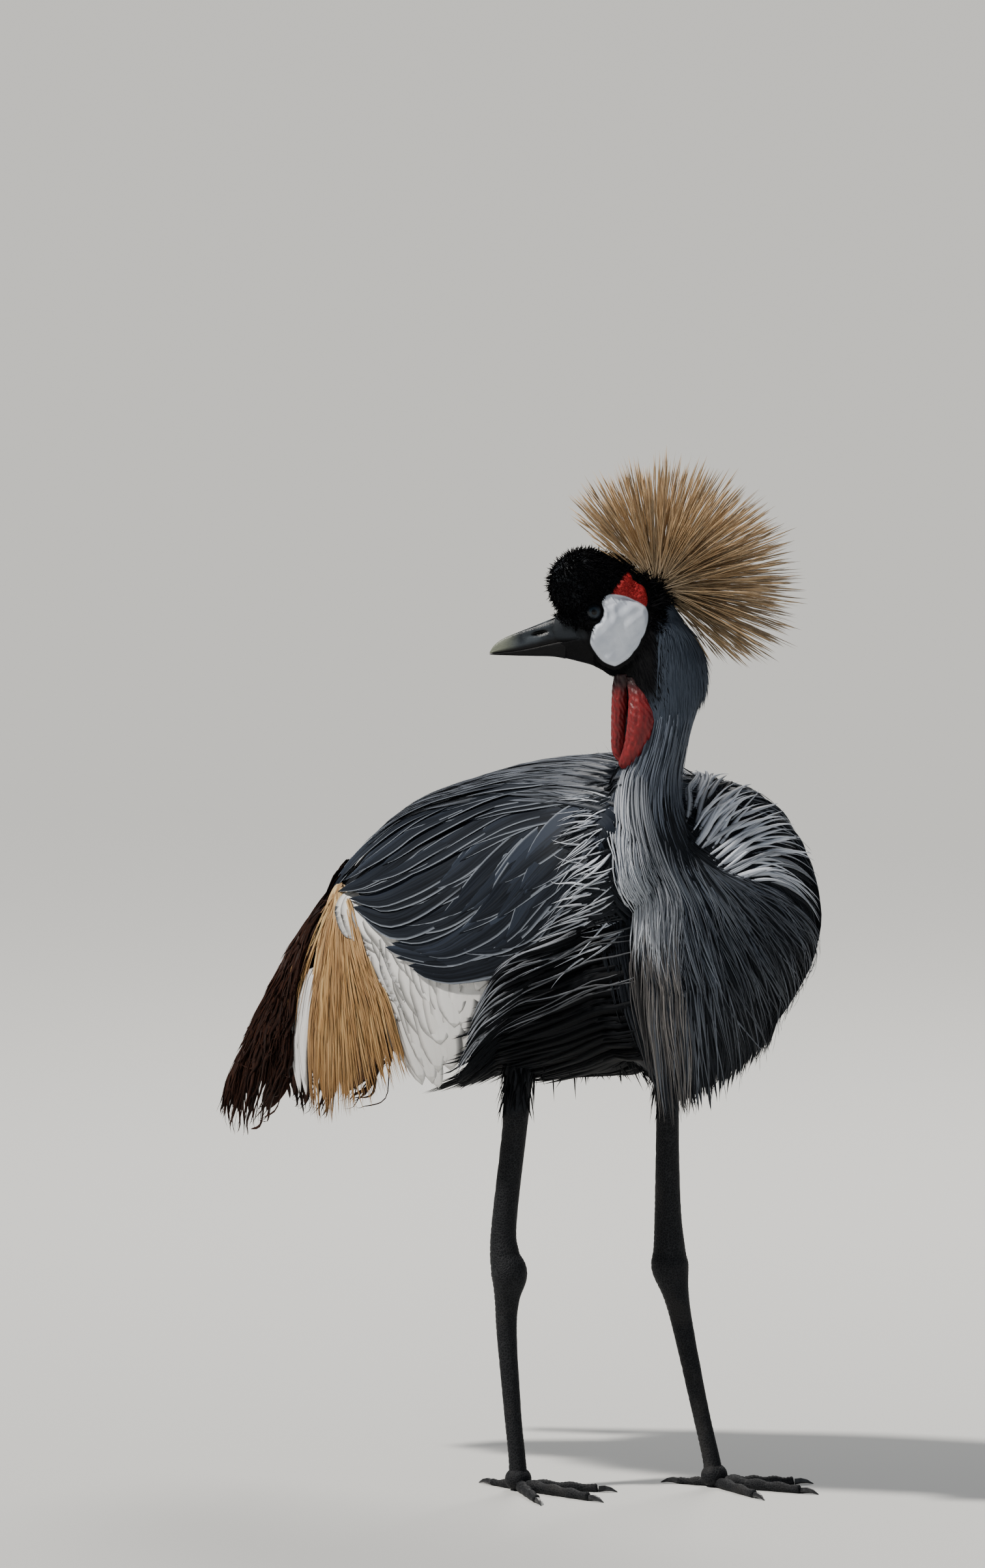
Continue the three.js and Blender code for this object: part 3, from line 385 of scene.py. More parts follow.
# Feathers along paths on a bed, which is a place on the plumage with the way it is unwrapped
def layFeathers(name, bed, paths, look, finish, slotName, nodes=(), side=1):
    place, unwrap = bed
    count, knots = paths.shape[:2]
    spots = np.linspace(0, 1, look["steps"])
    t = spots[None, :]
    knot = np.minimum((spots * (knots - 1)).astype(int), knots - 2)
    share = (spots * (knots - 1) - knot)[None, :, None]
    sway = np.sin(np.pi * t)
    bend = np.array(look["bend"], float)
    loose = look["curl"] * draw.normal(size=(count, 1, 2)) * np.array(look["curlAxes"])
    path = paths[:, knot] * (1 - share) + paths[:, knot + 1] * share + sway[..., None] * (bend + loose)
    if "ripple" in look:
        phase = draw.uniform(0, 2 * np.pi, (count, 1))
        waves = np.sin(phase + t * look["rippleTurns"] * 2 * np.pi) * t
        path = path + waves[..., None] * np.array(look["ripple"])
    lifts = np.interp(spots, look["liftSpots"], look["lifts"])[None, :]
    lifts = lifts + draw.uniform(0, 1, (count, 1)) * look["liftSpread"] * t ** 1.5
    centre = place(path[..., 0], path[..., 1], lifts)
    out = unit(place(path[..., 0], path[..., 1], lifts + 3) - centre)
    shape = np.minimum(1, look["rootWidth"] + (1 - look["rootWidth"]) * t / look["widest"])
    shape = shape * (1 - np.clip((t - look["taperFrom"]) / (1 - look["taperFrom"]), 0, 1) ** look["taper"])
    size = look["half"] * (1 + draw.uniform(-1, 1, (count, 1)) * look["sizeSpread"]) * mm
    width = np.maximum(size * shape, 1e-5)
    thick = np.broadcast_to(look["thick"] * mm * (1 - 0.7 * t), width.shape)
    roll = (draw.normal(size=(count, 1)) * look["roll"] + side * look["lean"]) * np.minimum(1, 3 * t)
    ring = broadRing if look.get("broad") else narrowRing
    points, faces, acrossAll, each = vaneShape(centre, out, width, thick, ring, look["camber"], roll)
    corners = len(ring[0])
    alongAll = np.tile(np.append(np.repeat(spots[:-1], corners), 1), count)
    shades = draw.uniform(0, 1, count)
    middles = paths[:, knots // 2]
    if "clump" in look:              # neighbours share a shade: which coordinate, width, how much it counts
        axis, clumpWidth, weight = look["clump"]
        spot = (middles[:, axis] + 500) / clumpWidth
        clumpCount = int(spot.max()) + 2
        clumps = np.interp(spot, np.arange(clumpCount), draw.uniform(-0.2, 1.2, clumpCount))
        shades = np.clip(shades * (1 - weight) + clumps * weight, 0, 1)
    if "shadeBy" in look:            # which coordinate, its dark and its light value, how much it counts; in some tracts this tone by place is painted light and shade
        axis, dark, light, weight = look["shadeBy"]
        shades = shades * (1 - weight) + weight * smoothStep(middles[:, axis], dark, light)
    marks = {"along": alongAll, "across": acrossAll * side, "shade": np.repeat(shades, each)}
    patch = np.repeat(unwrap(paths[:, 0, 0], paths[:, 0, 1]), each, axis=0)
    mesh = fillMesh(name, points, faces, marks, patch + smallPatch(alongAll, acrossAll))
    if look.get("broad") and slotName != "white_coverts":    # thin vanes take the light on their faces
        lie = unit(np.gradient(centre, axis=1))
        out = unit(out - lie * np.sum(out * lie, axis=-1, keepdims=True))
        upperSide = (np.array(ring[1]) > -0.01)[:, None]    # a zero leaves the underside its own normal
        facing = (out[:, :-1, None] * upperSide).reshape(len(out), -1, 3)
        facing = np.concatenate([facing, out[:, -1:]], axis=1)
        mesh.normals_split_custom_set_from_vertices(facing.reshape(-1, 3))
    return addPiece(name, mesh, finishes[finish], nodes)


# Feathers in tiers between key rows; a key row has its first and last feather, each with root and tip
def featherTract(rows, tiers, count, jitter, tipJitter):
    table = np.array(rows, float)
    roots, tips = [], []
    for k in range(tiers):
        v = k / (tiers - 1) * (len(table) - 1)
        i = min(int(v), len(table) - 2)
        row = table[i] + (table[i + 1] - table[i]) * (v - i)
        u = (np.arange(count) + 0.5 * (k % 2)) / (count - 0.5)
        ends = row[0][None] + (row[1] - row[0])[None] * u[:, None, None]
        roots.append(ends[:, 0])
        tips.append(ends[:, 1])
    roots, tips = np.concatenate(roots), np.concatenate(tips)
    shared = draw.uniform(-1, 1, roots.shape) * np.array(jitter)
    tips = tips + shared + draw.uniform(-1, 1, tips.shape) * np.array(tipJitter)
    return np.stack([roots + shared, tips], axis=1)


def curveThrough(before, first, second, after, share):
    turn = 2 * before - 5 * first + 4 * second - after
    twist = 3 * (first - second) + after - before
    return first + 0.5 * share * (second - before + share * (turn + share * twist))


# A point on a sheet of flow lines: its rows follow the feathers, its columns lie side by side
def onSheet(sheet, along, across):
    rows, columns = sheet.shape[:2]
    v, u = along * (rows - 1), across * (columns - 1)
    i = np.clip(np.floor(v).astype(int), 0, rows - 2)
    j = np.clip(np.floor(u).astype(int), 0, columns - 2)
    lines = []
    for k in (-1, 0, 1, 2):
        row = np.clip(i + k, 0, rows - 1)
        near = [sheet[row, np.clip(j + m, 0, columns - 1)] for m in (-1, 0, 1, 2)]
        lines.append(curveThrough(*near, (u - j)[..., None]))
    return curveThrough(*lines, (v - i)[..., None])


def flowPaths(sheet, lay):
    tiers, count, span = lay["tiers"], lay["count"], lay["span"]
    total = tiers * count
    first, last = lay.get("band", (0, 1))
    start = np.repeat(np.linspace(0, lay.get("to", 1) - span, tiers), count)
    stagger = 0.5 * (np.repeat(np.arange(tiers), count) % 2)
    across = (np.tile(np.arange(count), tiers) + stagger) / (count - 0.5)
    across = first + (last - first) * across + draw.uniform(-1, 1, total) * lay["stray"][1]
    start = np.maximum(start + draw.uniform(-1, 1, total) * lay["stray"][0], 0)
    end = start + span * (1 + draw.uniform(-1, 1, total) * 0.2)
    end = np.minimum(end, 1 + draw.uniform(-0.03, 0.04, total))
    t = np.linspace(0, 1, 12)
    along = start[:, None] + (end - start)[:, None] * t
    over = across[:, None] + draw.normal(size=(total, 1)) * lay["drift"] * t
    return onSheet(np.array(sheet, float), along, np.clip(over, -0.04, 1.04))


# Short tufts that stand on given points, each with its normal, and all lie one way
def layTufts(name, points, normals, flow, look, unwrapped, finish):
    count = len(points)
    steps = look["steps"]
    t = np.linspace(0, 1, steps)[None, :, None]
    flow = np.broadcast_to(flow, points.shape)
    flow = unit(flow - normals * np.sum(flow * normals, axis=-1, keepdims=True)
                + draw.normal(size=flow.shape) * look["stray"])
    length = look["length"] * mm * (1 + draw.uniform(-1, 1, (count, 1, 1)) * look["sizeSpread"])
    centre = (points[:, None] - normals[:, None] * look["sink"] * mm + flow[:, None] * length * t
              + normals[:, None] * length * look["stand"] * np.sqrt(t + 1e-4)
              - normals[:, None] * length * look["droop"] * t ** 2)
    out = np.broadcast_to(unit(normals[:, None] + draw.normal(size=(count, 1, 3)) * 0.15), centre.shape)
    flat = t[..., 0]
    shape = np.minimum(1, 0.6 + 2 * flat) * (1 - flat ** look["taper"] * 0.98)
    width = look["half"] * mm * shape * (1 + draw.uniform(-1, 1, (count, 1)) * look["sizeSpread"])
    width = np.maximum(width, 1e-5)
    points, faces, acrossAll, each = vaneShape(centre, out, width, width * look["depth"], tuftRing, 0.15,
                                               draw.normal(size=(count, 1)) * 0.3)
    alongAll = np.tile(np.append(np.repeat(flat[0, :-1], 3), 1), count)
    patch = np.repeat(unwrapped, each, axis=0) + smallPatch(alongAll, acrossAll)
    marks = {"along": alongAll, "across": acrossAll, "shade": np.repeat(draw.uniform(0, 1, count), each)}
    mesh = fillMesh(name, points, faces, marks, patch)
    if look.get("smooth"):                           # flat tufts take the light as the skin below them does
        mesh.normals_split_custom_set_from_vertices(np.repeat(normals, each, axis=0))
    return addPiece(name, mesh, finishes[finish])


# Feather finishes. Each names its colours: root, tip, edge, shaft, the odd feather and the odd strand
plainFeather = {
    "root": (0.02, 0.024, 0.03), "tip": (0.05, 0.06, 0.075), "edge": (0.09, 0.105, 0.13),
    "shaft": (0.01, 0.011, 0.013), "other": (0.035, 0.042, 0.055), "strand": (0.06, 0.07, 0.09),
    "rim": (0.2, 0.22, 0.26), "tipFrom": (0.3, 1.0), "edgeFrom": (0.7, 1.0), "edgeShare": 0.5,
    "shaftShare": 0.6, "shadeShare": 0.5, "strandShare": 0.4, "barbShare": 0.12, "overlapShadeShare": 0.0,
    "rimShare": 0.0, "flecks": 3.0, "barbs": 260.0, "barbSlant": 22.0, "bump": 0.35, "roughness": 0.45,
    "gloss": 0.28}
finishes = {
    # wing feathers: the lighter blue-grey of the odd feather and the odd strand is partly the plumage's own
    # tone and partly painted sheen
    "wingDark": {
        "root": (0.003, 0.004, 0.006), "tip": (0.006, 0.0085, 0.014), "edge": (0.03, 0.039, 0.055),
        "other": (0.042, 0.054, 0.08), "strand": (0.04, 0.05, 0.07), "rim": (0.22, 0.245, 0.285),
        "overlapShadeShare": 0.85, "rimShare": 0.9, "edgeShare": 0.1, "barbShare": 0.1, "strandShare": 0.22,
        "shadeShare": 0.9, "roughness": 0.5, "gloss": 0.09, "bump": 0.25},
    "backGrey": {
        "root": (0.012, 0.014, 0.018), "tip": (0.13, 0.148, 0.185), "edge": (0.2, 0.22, 0.26),
        "other": (0.03, 0.036, 0.046), "strand": (0.2, 0.22, 0.26), "shadeShare": 0.8, "rimShare": 0.5,
        "overlapShadeShare": 0.4},
    "beard": {
        "root": (0.05, 0.055, 0.065), "tip": (0.34, 0.315, 0.3), "edge": (0.4, 0.37, 0.35),
        "shaft": (0.09, 0.1, 0.12), "other": (0.012, 0.012, 0.014), "strand": (0.36, 0.33, 0.3),
        "tipFrom": (0.0, 0.4), "shaftShare": 0.25, "shadeShare": 1.0, "strandShare": 0.12},
    "whiteCovert": {
        "root": (0.68, 0.67, 0.65), "tip": (0.78, 0.77, 0.75), "edge": (0.85, 0.84, 0.83),
        "shaft": (0.45, 0.43, 0.4), "other": (0.66, 0.64, 0.61), "strand": (0.72, 0.71, 0.69),
        "shaftShare": 0.12, "barbShare": 0.03, "roughness": 0.6, "bump": 0.2},
    "plumeGold": {
        "root": (0.62, 0.44, 0.2), "tip": (0.44, 0.2, 0.048), "edge": (0.7, 0.44, 0.17),
        "shaft": (0.28, 0.11, 0.025), "other": (0.17, 0.055, 0.011), "strand": (0.8, 0.58, 0.3),
        "shadeShare": 0.95, "barbs": 60.0, "roughness": 0.5},
    # chestnut plumes: the lighter red-brown strands and edges are partly the plume's own flecks and partly
    # painted glints
    "chestnut": {
        "root": (0.006, 0.003, 0.0025), "tip": (0.02, 0.006, 0.0035), "edge": (0.07, 0.02, 0.009),
        "shaft": (0.005, 0.003, 0.002), "other": (0.003, 0.002, 0.002), "strand": (0.1, 0.034, 0.016),
        "shadeShare": 0.95, "strandShare": 0.35, "roughness": 0.42, "gloss": 0.12, "flecks": 14.0},
    "silver": {
        "root": (0.2, 0.22, 0.26), "tip": (0.6, 0.63, 0.68), "edge": (0.7, 0.73, 0.78),
        "shaft": (0.25, 0.27, 0.31), "other": (0.055, 0.065, 0.085), "strand": (0.7, 0.73, 0.77),
        "tipFrom": (0.0, 0.5), "shaftShare": 0.2, "barbShare": 0.05, "shadeShare": 0.95, "strandShare": 0.15},
    "breastStreak": {
        "root": (0.02, 0.024, 0.031), "tip": (0.16, 0.18, 0.215), "edge": (0.2, 0.22, 0.26),
        "shaft": (0.07, 0.08, 0.1), "other": (0.03, 0.035, 0.045), "strand": (0.22, 0.24, 0.28),
        "tipFrom": (0.1, 0.6), "shaftShare": 0.2, "shadeShare": 1.0, "strandShare": 0.1},
    "lance": {
        "root": (0.22, 0.24, 0.28), "tip": (0.74, 0.78, 0.86), "edge": (0.85, 0.89, 0.95),
        "shaft": (0.3, 0.33, 0.38), "other": (0.04, 0.048, 0.064), "strand": (0.72, 0.75, 0.8),
        "rim": (0.7, 0.73, 0.8), "rimShare": 0.5, "tipFrom": (0.0, 0.3), "shaftShare": 0.2,
        "shadeShare": 0.95, "strandShare": 0.12, "barbShare": 0.05},
    "neckStrand": {
        "root": (0.04, 0.05, 0.068), "tip": (0.045, 0.056, 0.077), "edge": (0.08, 0.095, 0.12),
        "shaft": (0.04, 0.05, 0.068), "other": (0.095, 0.113, 0.147), "strand": (0.13, 0.15, 0.185),
        "tipFrom": (0.1, 0.8), "shaftShare": 0.2, "shadeShare": 0.9, "strandShare": 0.25, "barbShare": 0.0,
        "bump": 0.1},
    "flankSilver": {
        "root": (0.006, 0.007, 0.009), "tip": (0.36, 0.385, 0.44), "edge": (0.45, 0.475, 0.53),
        "shaft": (0.15, 0.16, 0.18), "other": (0.03, 0.034, 0.042), "strand": (0.5, 0.52, 0.56),
        "tipFrom": (0.25, 0.85), "shaftShare": 0.2, "shadeShare": 0.95, "strandShare": 0.15},
    "breastDark": {
        "root": (0.004, 0.005, 0.007), "tip": (0.016, 0.0195, 0.026), "edge": (0.03, 0.036, 0.047),
        "other": (0.006, 0.0075, 0.01), "strand": (0.03, 0.036, 0.046), "shadeShare": 0.8, "rimShare": 0.5,
        "rim": (0.09, 0.1, 0.125), "overlapShadeShare": 0.5, "gloss": 0.12, "roughness": 0.55},
    "flankBlack": {
        "root": (0.002, 0.0022, 0.003), "tip": (0.004, 0.005, 0.007), "edge": (0.01, 0.012, 0.016),
        "other": (0.002, 0.0025, 0.003), "strand": (0.009, 0.011, 0.014), "rimShare": 0.35,
        "rim": (0.05, 0.056, 0.068), "gloss": 0.06, "roughness": 0.6},
    "neckGrey": {
        "root": (0.042, 0.054, 0.075), "tip": (0.06, 0.076, 0.102), "edge": (0.08, 0.097, 0.126),
        "shaft": (0.042, 0.054, 0.075), "other": (0.05, 0.063, 0.086), "strand": (0.09, 0.108, 0.138),
        "shaftShare": 0.2, "barbs": 30.0, "bump": 0.1, "barbShare": 0.0, "gloss": 0.15},
    "velvetBlack": {
        "root": (0.002, 0.002, 0.0025), "tip": (0.006, 0.006, 0.007), "edge": (0.01, 0.01, 0.012),
        "shaft": (0.002, 0.002, 0.002), "other": (0.003, 0.003, 0.004), "strand": (0.012, 0.012, 0.014),
        "barbs": 20.0, "roughness": 0.75, "gloss": 0.04},
    "crestGold": {
        "root": (0.66, 0.52, 0.36), "tip": (0.38, 0.22, 0.095), "edge": (0.74, 0.54, 0.3),
        "shaft": (0.2, 0.11, 0.05), "other": (0.045, 0.022, 0.01), "strand": (0.85, 0.66, 0.4),
        "tipFrom": (0.08, 0.5), "shadeShare": 1.0, "strandShare": 0.45, "edgeShare": 0.25, "shaftShare": 0.2,
        "roughness": 0.4, "flecks": 26.0},
}
finishes = {name: featherFinish(name, {**plainFeather, **look}) for name, look in finishes.items()}
print("feather finishes made")


# The head's own directions, in millimetres: toward the bill, toward the head's left, and up
headLook = {
    "place": (-71, 24.2, 795.5),
    "turn": 145,                     # degrees to the bird's right
    "skull": [  # toward the bill, top, bottom, half width
        [-76, -6, -18, 5], [-69, 6, -36, 13], [-54, 22, -52, 19], [-36, 34, -60, 22], [-18, 37, -60, 22.5],
        [0, 34, -51, 21], [14, 20, -47, 16], [26, 2, -44, 12], [36, -8, -41, 9], [40, -12, -38, 6]],
    "crown": [  # middle and size of each ball
        [(6, 0, 21), (32.5, 23, 31)], [(-12, 0, 18), (28, 22, 30)], [(-38, 0, 8), (20, 17, 24)]],
    "cheekMiddle": (-22, -17), "cheekRise": 4.6,     # outlines are given toward the bill and up
    "cheekEdge": [
        (-13.3, 15.7), (-24.7, 14.6), (-35, 10.5), (-45.4, 4.3), (-47.3, -0.4), (-45.8, -13.9),
        (-41.2, -24.2), (-34.8, -35.4), (-25.5, -45), (-18.4, -49.1), (-8.1, -45), (-0.9, -36.5),
        (3.5, -28.4), (2.9, -21.1), (0.2, -12.8), (-5, -9.2), (-8.1, -3.5), (-8.6, 1.7), (-6.5, 7.9),
        (-8.1, 13.1)],
    "cheekRidges": [  # rise, toward the bill at its foot, half width, up
        [1.3, -19, 2.4, -1], [-1.1, -14, 2.2, -2]],
    "cheekFold": 0.7, "cheekFall": 1.4,  # waves over the cheek, and how far its lower edge draws in
    "patchMiddle": (-34, 19.5), "patchRise": 3.4, "patchBumps": 0.9,
    "patchEdge": [
        (-14.8, 16.2), (-19.5, 23.4), (-23.6, 28.6), (-27.3, 33.8), (-29.9, 34.9), (-32.5, 31.7),
        (-33.8, 27.6), (-38.2, 24.4), (-43.3, 21.8), (-45.8, 16.2), (-47, 10), (-45.8, 4.3), (-35, 9),
        (-24.7, 13)],
    "bareEdge": 1.0,                 # depth of the groove round the bare skin
    "eye": (0, 16.2, 0), "socketDepth": 2.6, "socketRadius": 8.5, "lidRise": 1.0, "lidRadius": 8.6,
    "mouth": [[14, -24.4], [24, -26.8], [36, -29]], "slitDepth": 1.0, "slitWidth": 0.9,
}
headTurn = math.radians(headLook["turn"])
headAhead = (-math.sin(headTurn), math.cos(headTurn))    # its left and forward parts
headSide = (headAhead[1], -headAhead[0])


def onHead(ahead, side, up):
    left, forward, level = headLook["place"]
    return toFrame(left + ahead * headAhead[0] + side * headSide[0],
                   forward + ahead * headAhead[1] + side * headSide[1], level + up)


def toHead(points):
    dx = points[:, 0] / mm - headLook["place"][0]
    dy = birdShift - points[:, 1] / mm - headLook["place"][1]
    return (dx * headAhead[0] + dy * headAhead[1], dx * headSide[0] + dy * headSide[1],
            points[:, 2] / mm - headLook["place"][2])


# How far a place lies inside (below 1) or outside an outline given by its distances round a middle
def outlineShare(ahead, up, middle, outline):
    spots = np.array(outline, float) - middle
    angles = np.arctan2(spots[:, 1], spots[:, 0])
    order = np.argsort(angles)
    reach = np.interp(np.arctan2(up - middle[1], ahead - middle[0]), angles[order],
                      np.hypot(spots[:, 0], spots[:, 1])[order], period=2 * math.pi)
    return np.hypot(ahead - middle[0], up - middle[1]) / reach


def ringLoft(rings):
    rings = np.asarray(rings, float)
    steps, corners = rings.shape[:2]
    points = np.concatenate([rings.reshape(-1, 3), rings[0].mean(0)[None], rings[-1].mean(0)[None]])
    k, i = np.meshgrid(np.arange(steps - 1) * corners, np.arange(corners), indexing="ij")
    j = (i + 1) % corners
    quads = np.stack([k + i, k + j, k + corners + j, k + corners + i], axis=-1).reshape(-1, 4)
    i = np.arange(corners)
    j = (i + 1) % corners
    last = (steps - 1) * corners
    foot = np.stack([j, i, np.full(corners, steps * corners)], axis=-1)
    head = np.stack([last + i, last + j, np.full(corners, steps * corners + 1)], axis=-1)
    return points, quads, np.concatenate([foot, head])


def meshOf(name, parts):
    points, quads, tris, offset = [], [], [], 0
    for part in parts:
        points.append(part[0])
        quads.append(part[1] + offset)
        tris.append(part[2] + offset)
        offset += len(part[0])
    return fillMesh(name, np.concatenate(points), [np.concatenate(quads), np.concatenate(tris)])


def outward(mesh):
    shape = bmesh.new()
    shape.from_mesh(mesh)
    bmesh.ops.recalc_face_normals(shape, faces=shape.faces)
    shape.to_mesh(mesh)
    shape.free()
    return mesh


def remeshed(name, parts, voxel, smoothing, turns):
    mesh = outward(meshOf(name + "_parts", parts))
    holder = addObject(name + "_parts", mesh)
    modifier = holder.modifiers.new("voxels", "REMESH")
    modifier.mode = "VOXEL"
    modifier.voxel_size = voxel
    modifier.adaptivity = 0
    smooth = holder.modifiers.new("smooth", "SMOOTH")
    smooth.factor = smoothing
    smooth.iterations = turns
    graph = bpy.context.evaluated_depsgraph_get()
    result = bpy.data.meshes.new_from_object(holder.evaluated_get(graph))
    bpy.data.objects.remove(holder)
    result.name = name
    return result


def circle(corners):
    angle = np.arange(corners) / corners * 2 * np.pi
    return np.cos(angle), np.sin(angle)


def tableLoft(section, low, high, steps):
    return ringLoft([section(place) for place in np.linspace(low, high, steps)])


def ball(place, size):
    c, s = circle(36)

    def ring(p):
        return onHead(place[0] + size[0] * np.sin(p) * c, place[1] + size[1] * np.sin(p) * s,
                      place[2] + size[2] * np.cos(p))
    return tableLoft(ring, 0.02, np.pi - 0.02, 24)


skinLook = {
    "coat": 4.0,                     # the plumage is this deep over the trunk
    "neckCoat": 1.6, "headCoat": 0.7, "bodyVoxel": 0.0036, "headVoxel": 0.00115,
    "wingEnds": (70, -296), "wingEdge": (0.86, 0.7), "wingThick": (22, 5), "wingCoat": 4.5, "wingFoot": 8,
    "legSides": 28, "legSteps": 240, "legCoat": 0.5, "plateLength": 5.2, "plateRise": 0.45, "scaleRise": 0.16}
legPaths = {  # left, forward, up, half width, from the belly down
    "left": [[48, 30, 420, 18], [50, 22, 370, 12.5], [51, 20, 330, 10.5], [53, 19, 250, 12],
             [54, 20, 212, 14.5], [54, 21, 194, 17], [54.5, 27, 170, 12], [55.5, 34, 140, 9.6],
             [57, 51, 70, 8], [58, 62, 28, 8], [58, 66, 9, 9]],
    "right": [[-48, -60, 420, 19], [-51, -70, 370, 13.5], [-52, -73, 330, 11.5], [-55, -83, 240, 11.5],
              [-56, -82, 211, 13.5], [-56, -77, 193, 16.5], [-56.5, -79, 170, 11.5], [-57, -79, 140, 9.4],
              [-58, -72, 70, 8], [-58, -67, 28, 8], [-58, -66, 9, 9]]}


def trunkRing(forward):
    c, s = circle(48)
    middle, halfWidth, top, bottom, lean = trunkSection(forward)
    coat = skinLook["coat"]
    rise = ((top - bottom) / 2 - coat) * c
    return toFrame(middle + (halfWidth - coat) * s + lean * rise, forward, (top + bottom) / 2 + rise)


def blend(ends, share):
    return ends[0] + (ends[1] - ends[0]) * float(share)


def wingBed(side):                   # each pair in the look is given for the front and for the rear
    def ring(forward):
        lowest = blend(skinLook["wingEdge"], smoothStep(-forward, 0, 280))
        thick = blend(skinLook["wingThick"], smoothStep(-forward, 150, 290))
        share = np.concatenate([np.linspace(0, lowest, 20), np.linspace(lowest, 0, 20)])
        outer = skinLook["wingCoat"] + skinLook["wingFoot"] * float(smoothStep(forward, 30, 70))
        depth = np.concatenate([np.full(20, outer), np.full(20, outer + thick)])
        return wingPlace(side)(forward, share, -depth)
    return tableLoft(ring, *skinLook["wingEnds"], 60)


def neckRing(up):
    c, s = circle(40)
    left, forward, across, along, bend = neckSection(up)
    coat = blend((skinLook["neckCoat"], skinLook["coat"]), smoothStep(-up, -600, -540))
    cosine, sine = math.cos(math.radians(bend)), math.sin(math.radians(bend))
    x, y = (across - coat) * c, (along - coat) * s
    return toFrame(left + x * cosine + y * sine, forward - x * sine + y * cosine, up)


def skullRing(ahead):
    c, s = circle(48)
    top, bottom, half = (sectionCurve(headLook["skull"], ahead, k) for k in (1, 2, 3))
    coat = skinLook["headCoat"]
    return onHead(ahead, (half - coat) * s, (top + bottom) / 2 + ((top - bottom) / 2 - coat) * c)


def legShape(path):
    rows = np.array(path, float)
    steps = np.arange(len(rows))
    t = np.linspace(0, len(rows) - 1, skinLook["legSteps"])
    spine = np.stack([sectionCurve(np.column_stack([steps, rows]), t, k) for k in (1, 2, 3, 4)], axis=-1)
    centre = toFrame(spine[:, 0], spine[:, 1], spine[:, 2])
    along = unit(np.gradient(centre, axis=0))
    across = unit(np.array([1.0, 0, 0]) - along * along[:, :1])
    third = np.cross(along, across)
    c, s = circle(skinLook["legSides"])
    angle = np.arctan2(s, c)
    lengths = np.concatenate([[0], np.cumsum(np.linalg.norm(np.diff(centre, axis=0), axis=1))]) / mm
    front = np.clip(np.cos(angle[None] + np.pi / 2), 0, 1)
    plates = lengths[:, None] / skinLook["plateLength"] + 0.06 * np.sin(angle[None] * 2)
    plates = np.abs((plates % 1) - 0.5) * 2
    small = np.sin(lengths[:, None] * 2 * np.pi / 3.1) * np.sin(angle[None] * 9)
    relief = front ** 0.5 * (1 - plates ** 4) * skinLook["plateRise"]
    relief = relief + (1 - front) * small * skinLook["scaleRise"]
    radius = (spine[:, 3:4] - skinLook["legCoat"] + relief) * mm
    sideways, ahead = (radius * c)[..., None], (radius * s)[..., None]
    return ringLoft(centre[:, None] + across[:, None] * sideways + third[:, None] * ahead)


footLook = {
    "pad": (13, 12, 11), "places": {"left": (58, 66), "right": (-58, -66)}, "turnOut": 6,
    "toes": [  # degrees from straight ahead, length, half width, joints
        ["inner", -32, 72, 5.6, 3], ["middle", 2, 86, 6, 4], ["outer", 36, 72, 5.6, 4],
        ["hind", 186, 34, 4.6, 2]],
    "knuckle": 0.09, "narrowing": 0.35, "plateLength": 3.4, "plateRise": 0.3,
    "roundFrom": 0.97, "roundOver": 0.03}


def onToe(side, degrees, along, sideways, up):
    left, forward = footLook["places"][side]
    angle = math.radians(degrees + footLook["turnOut"]) * (1 if side == "left" else -1)
    return toFrame(left + along * math.sin(angle) + sideways * math.cos(angle),
                   forward + along * math.cos(angle) - sideways * math.sin(angle), up)


def toeShape(side, toe):
    _, degrees, length, halfWidth, joints = toe
    c, s = circle(24)

    def ring(t):
        knuckle = 1 + footLook["knuckle"] * math.cos(2 * math.pi * t * joints)
        half = halfWidth * (1 - footLook["narrowing"] * t) * knuckle - 0.3
        past = (t - footLook["roundFrom"]) / footLook["roundOver"]
        if past > 0:
            half *= math.sqrt(max(0.05, 1 - past ** 2))
        plate = abs(((length * t / footLook["plateLength"]) % 1) - 0.5) * 2
        relief = footLook["plateRise"] * (1 - plate ** 4) * np.clip(c, 0, 1) ** 0.5
        up = np.maximum(0, (half + relief) * 0.9 + (half + relief) * c)
        return onToe(side, degrees, length * t, (half + relief * 0.4) * s, up)
    return tableLoft(ring, 0, 1, 70)


def footPad(side):
    left, forward = footLook["places"][side]
    c, s = circle(32)
    wide, deep, high = footLook["pad"]

    def ring(p):
        up = max(0.0, high - 1 + (high - 0.3) * math.cos(p))
        return toFrame(left + (wide - 0.4) * math.sin(p) * c, forward + (deep - 0.4) * math.sin(p) * s, up)
    return tableLoft(ring, 0.03, np.pi - 0.03, 20)


def bareShares(ahead, up):           # of the white cheek and of the red patch above it
    return [outlineShare(ahead, up, headLook[key + "Middle"], headLook[key + "Edge"])
            for key in ("cheek", "patch")]


def bell(value, middle, width, power=2):
    return np.exp(-((value - middle) / width) ** power)


